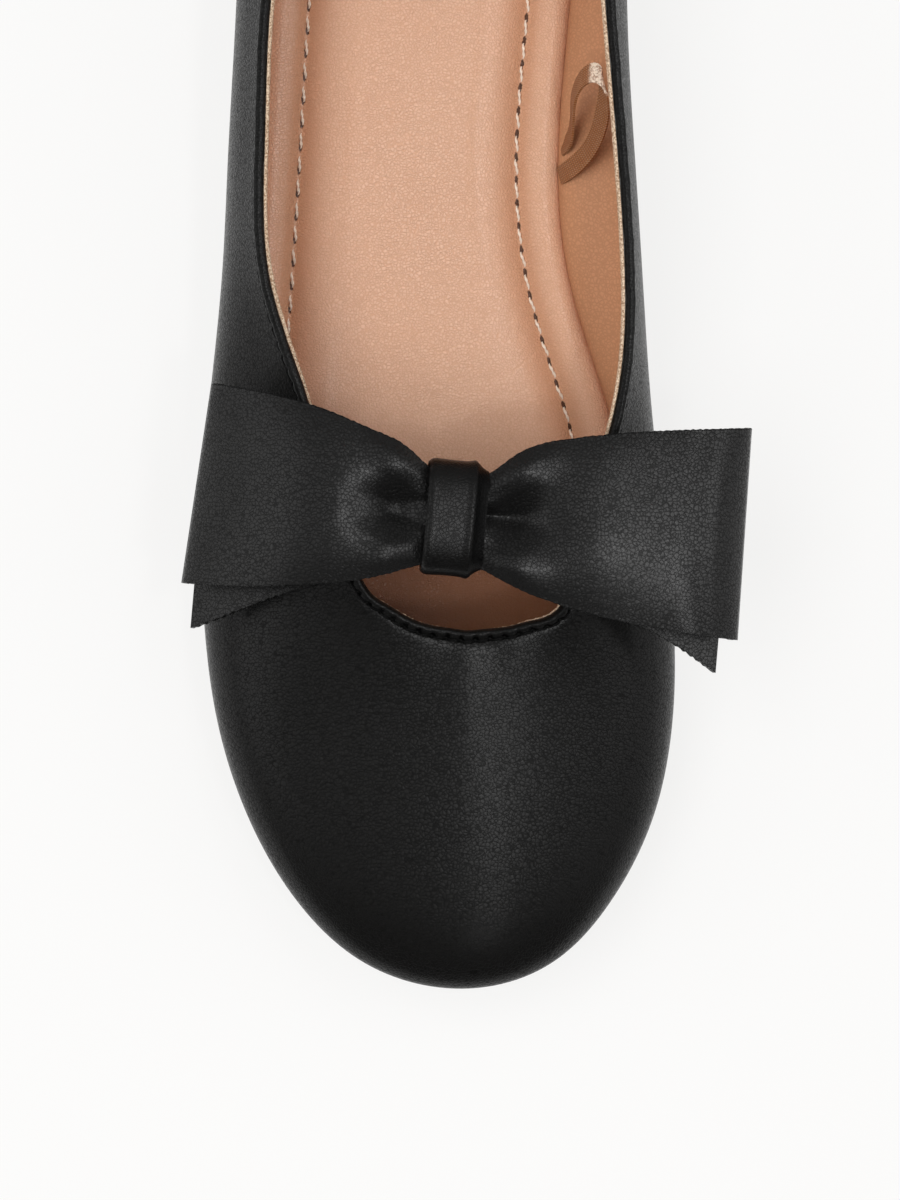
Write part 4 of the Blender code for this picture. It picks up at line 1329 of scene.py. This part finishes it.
# Painted sheen: glints on the weave, and a highlight over the top fold, are mixed towards
# TAPE_SHEEN.
weave_glint = (ribs * threads + 0.8 * (satin.noise(0.0011, 1.0) - 0.5)).rises(0.45, 0.80)
fold = 1 - abs(weft - fold_at).rises(0.0012, 0.0032)
streaks = satin.noise(0.00045, 1.0).rises(0.35, 0.60)
bright = 0.28 * weave_glint + fold * (0.35 + 0.65 * streaks)
colour = satin.mix(weave, TAPE_DEEP, TAPE_LIGHT)
satin.wear(Base_Color=satin.mix(bright, colour, TAPE_SHEEN))
satin.relief(weave, 0.00010)
pull_loop = grid_piece("pull_loop_tape", tape_grid, satin)
thicken(pull_loop, TAPE_THICKNESS, 0)
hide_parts("pull_loop")
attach(pull_loop, "root")

# Studio
# A white table in a white tent that is darker beyond the toe and beyond the heel. Strips and
# boxes overhead and at the inner side draw the highlights, and wide panels light both flanks.
FLOOR_HALF = 3.4
# Name, place, the point that it faces, size, watts, and if gloss and matt surfaces show it.
LIGHTS = (
    ("front_strip", (0.37, -0.91, 1.75), (0.37, -0.91, 0.0), (0.14, 1.03), 1.7, True, True),
    ("rear_strip", (0.37, 0.46, 1.75), (0.37, 0.46, 0.0), (0.14, 0.70), 1.8, True, True),
    ("throat_box", (0.33, -0.44, 1.75), (0.33, -0.44, 0.0), (0.18, 0.18), 2.6, True, True),
    ("inner_box", (0.80, -0.13, 1.42), (0.0, -0.13, 0.03), (0.46, 1.60), 5.6, True, False),
    ("outer_panel", (-1.40, -0.10, 0.90), (0.0, -0.12, 0.0), (1.4, 0.8), 2.6, True, True),
    ("inner_panel", (1.25, 0.25, 1.05), (0.0, -0.12, 0.0), (0.9, 0.9), 0.8, True, True),
    ("outer_sky", (-0.56, -0.12, 1.48), (0.0, -0.12, 0.0), (1.2, 0.6), 10.0, False, True),
)
# Place from the toe's side of the tent to the heel's, and how bright it is there.
TENT = ((0.22, 0.05), (0.40, 0.74), (0.62, 0.74), (0.85, 0.30))

table = Finish(
    "white_table",
    Base_Color=(0.16, 0.16, 0.16, 1),
    Roughness=0.9,
    Emission_Color=(1.0, 0.995, 0.985, 1),
    Emission_Strength=0.80,
)
corners = [(FLOOR_HALF * x, FLOOR_HALF * y, 0) for x, y in ((-1, -1), (1, -1), (1, 1), (-1, 1))]
floor = piece("table", corners, [(0, 1, 2, 3)], table)

for name, place, aim, size, watts, in_gloss, in_matt in LIGHTS:
    light = bpy.data.lights.new(name, "AREA")
    light.shape = "RECTANGLE"
    light.size, light.size_y = size
    light.energy = watts
    made = bpy.data.objects.new(name, light)
    made.location = place
    made.rotation_euler = (Vector(aim) - Vector(place)).to_track_quat("-Z", "Y").to_euler()
    made.visible_glossy = in_gloss
    made.visible_diffuse = in_matt
    bpy.context.scene.collection.objects.link(made)

world = bpy.data.worlds.new("studio")
world.use_nodes = True
room = world.node_tree
where, axes, halved, tent = (
    room.nodes.new("ShaderNode" + kind) for kind in ("TexCoord", "SeparateXYZ", "Math", "ValToRGB")
)
halved.operation = "MULTIPLY_ADD"
halved.inputs[1].default_value = 0.5
halved.inputs[2].default_value = 0.5
tent.color_ramp.interpolation = "EASE"
while len(tent.color_ramp.elements) < len(TENT):
    tent.color_ramp.elements.new(0.5)
for stop, (place, strength) in zip(tent.color_ramp.elements, TENT):
    stop.position = place
    stop.color = (strength, strength, strength, 1)
background = room.nodes["Background"].inputs
background["Color"].default_value = (1, 1, 1, 1)
for source, socket in (
    (where.outputs["Generated"], axes.inputs[0]),
    (axes.outputs["Y"], halved.inputs[0]),
    (halved.outputs[0], tent.inputs[0]),
    (tent.outputs[0], background["Strength"]),
):
    room.links.new(source, socket)
bpy.context.scene.world = world
bpy.context.scene.view_settings.view_transform = "Standard"
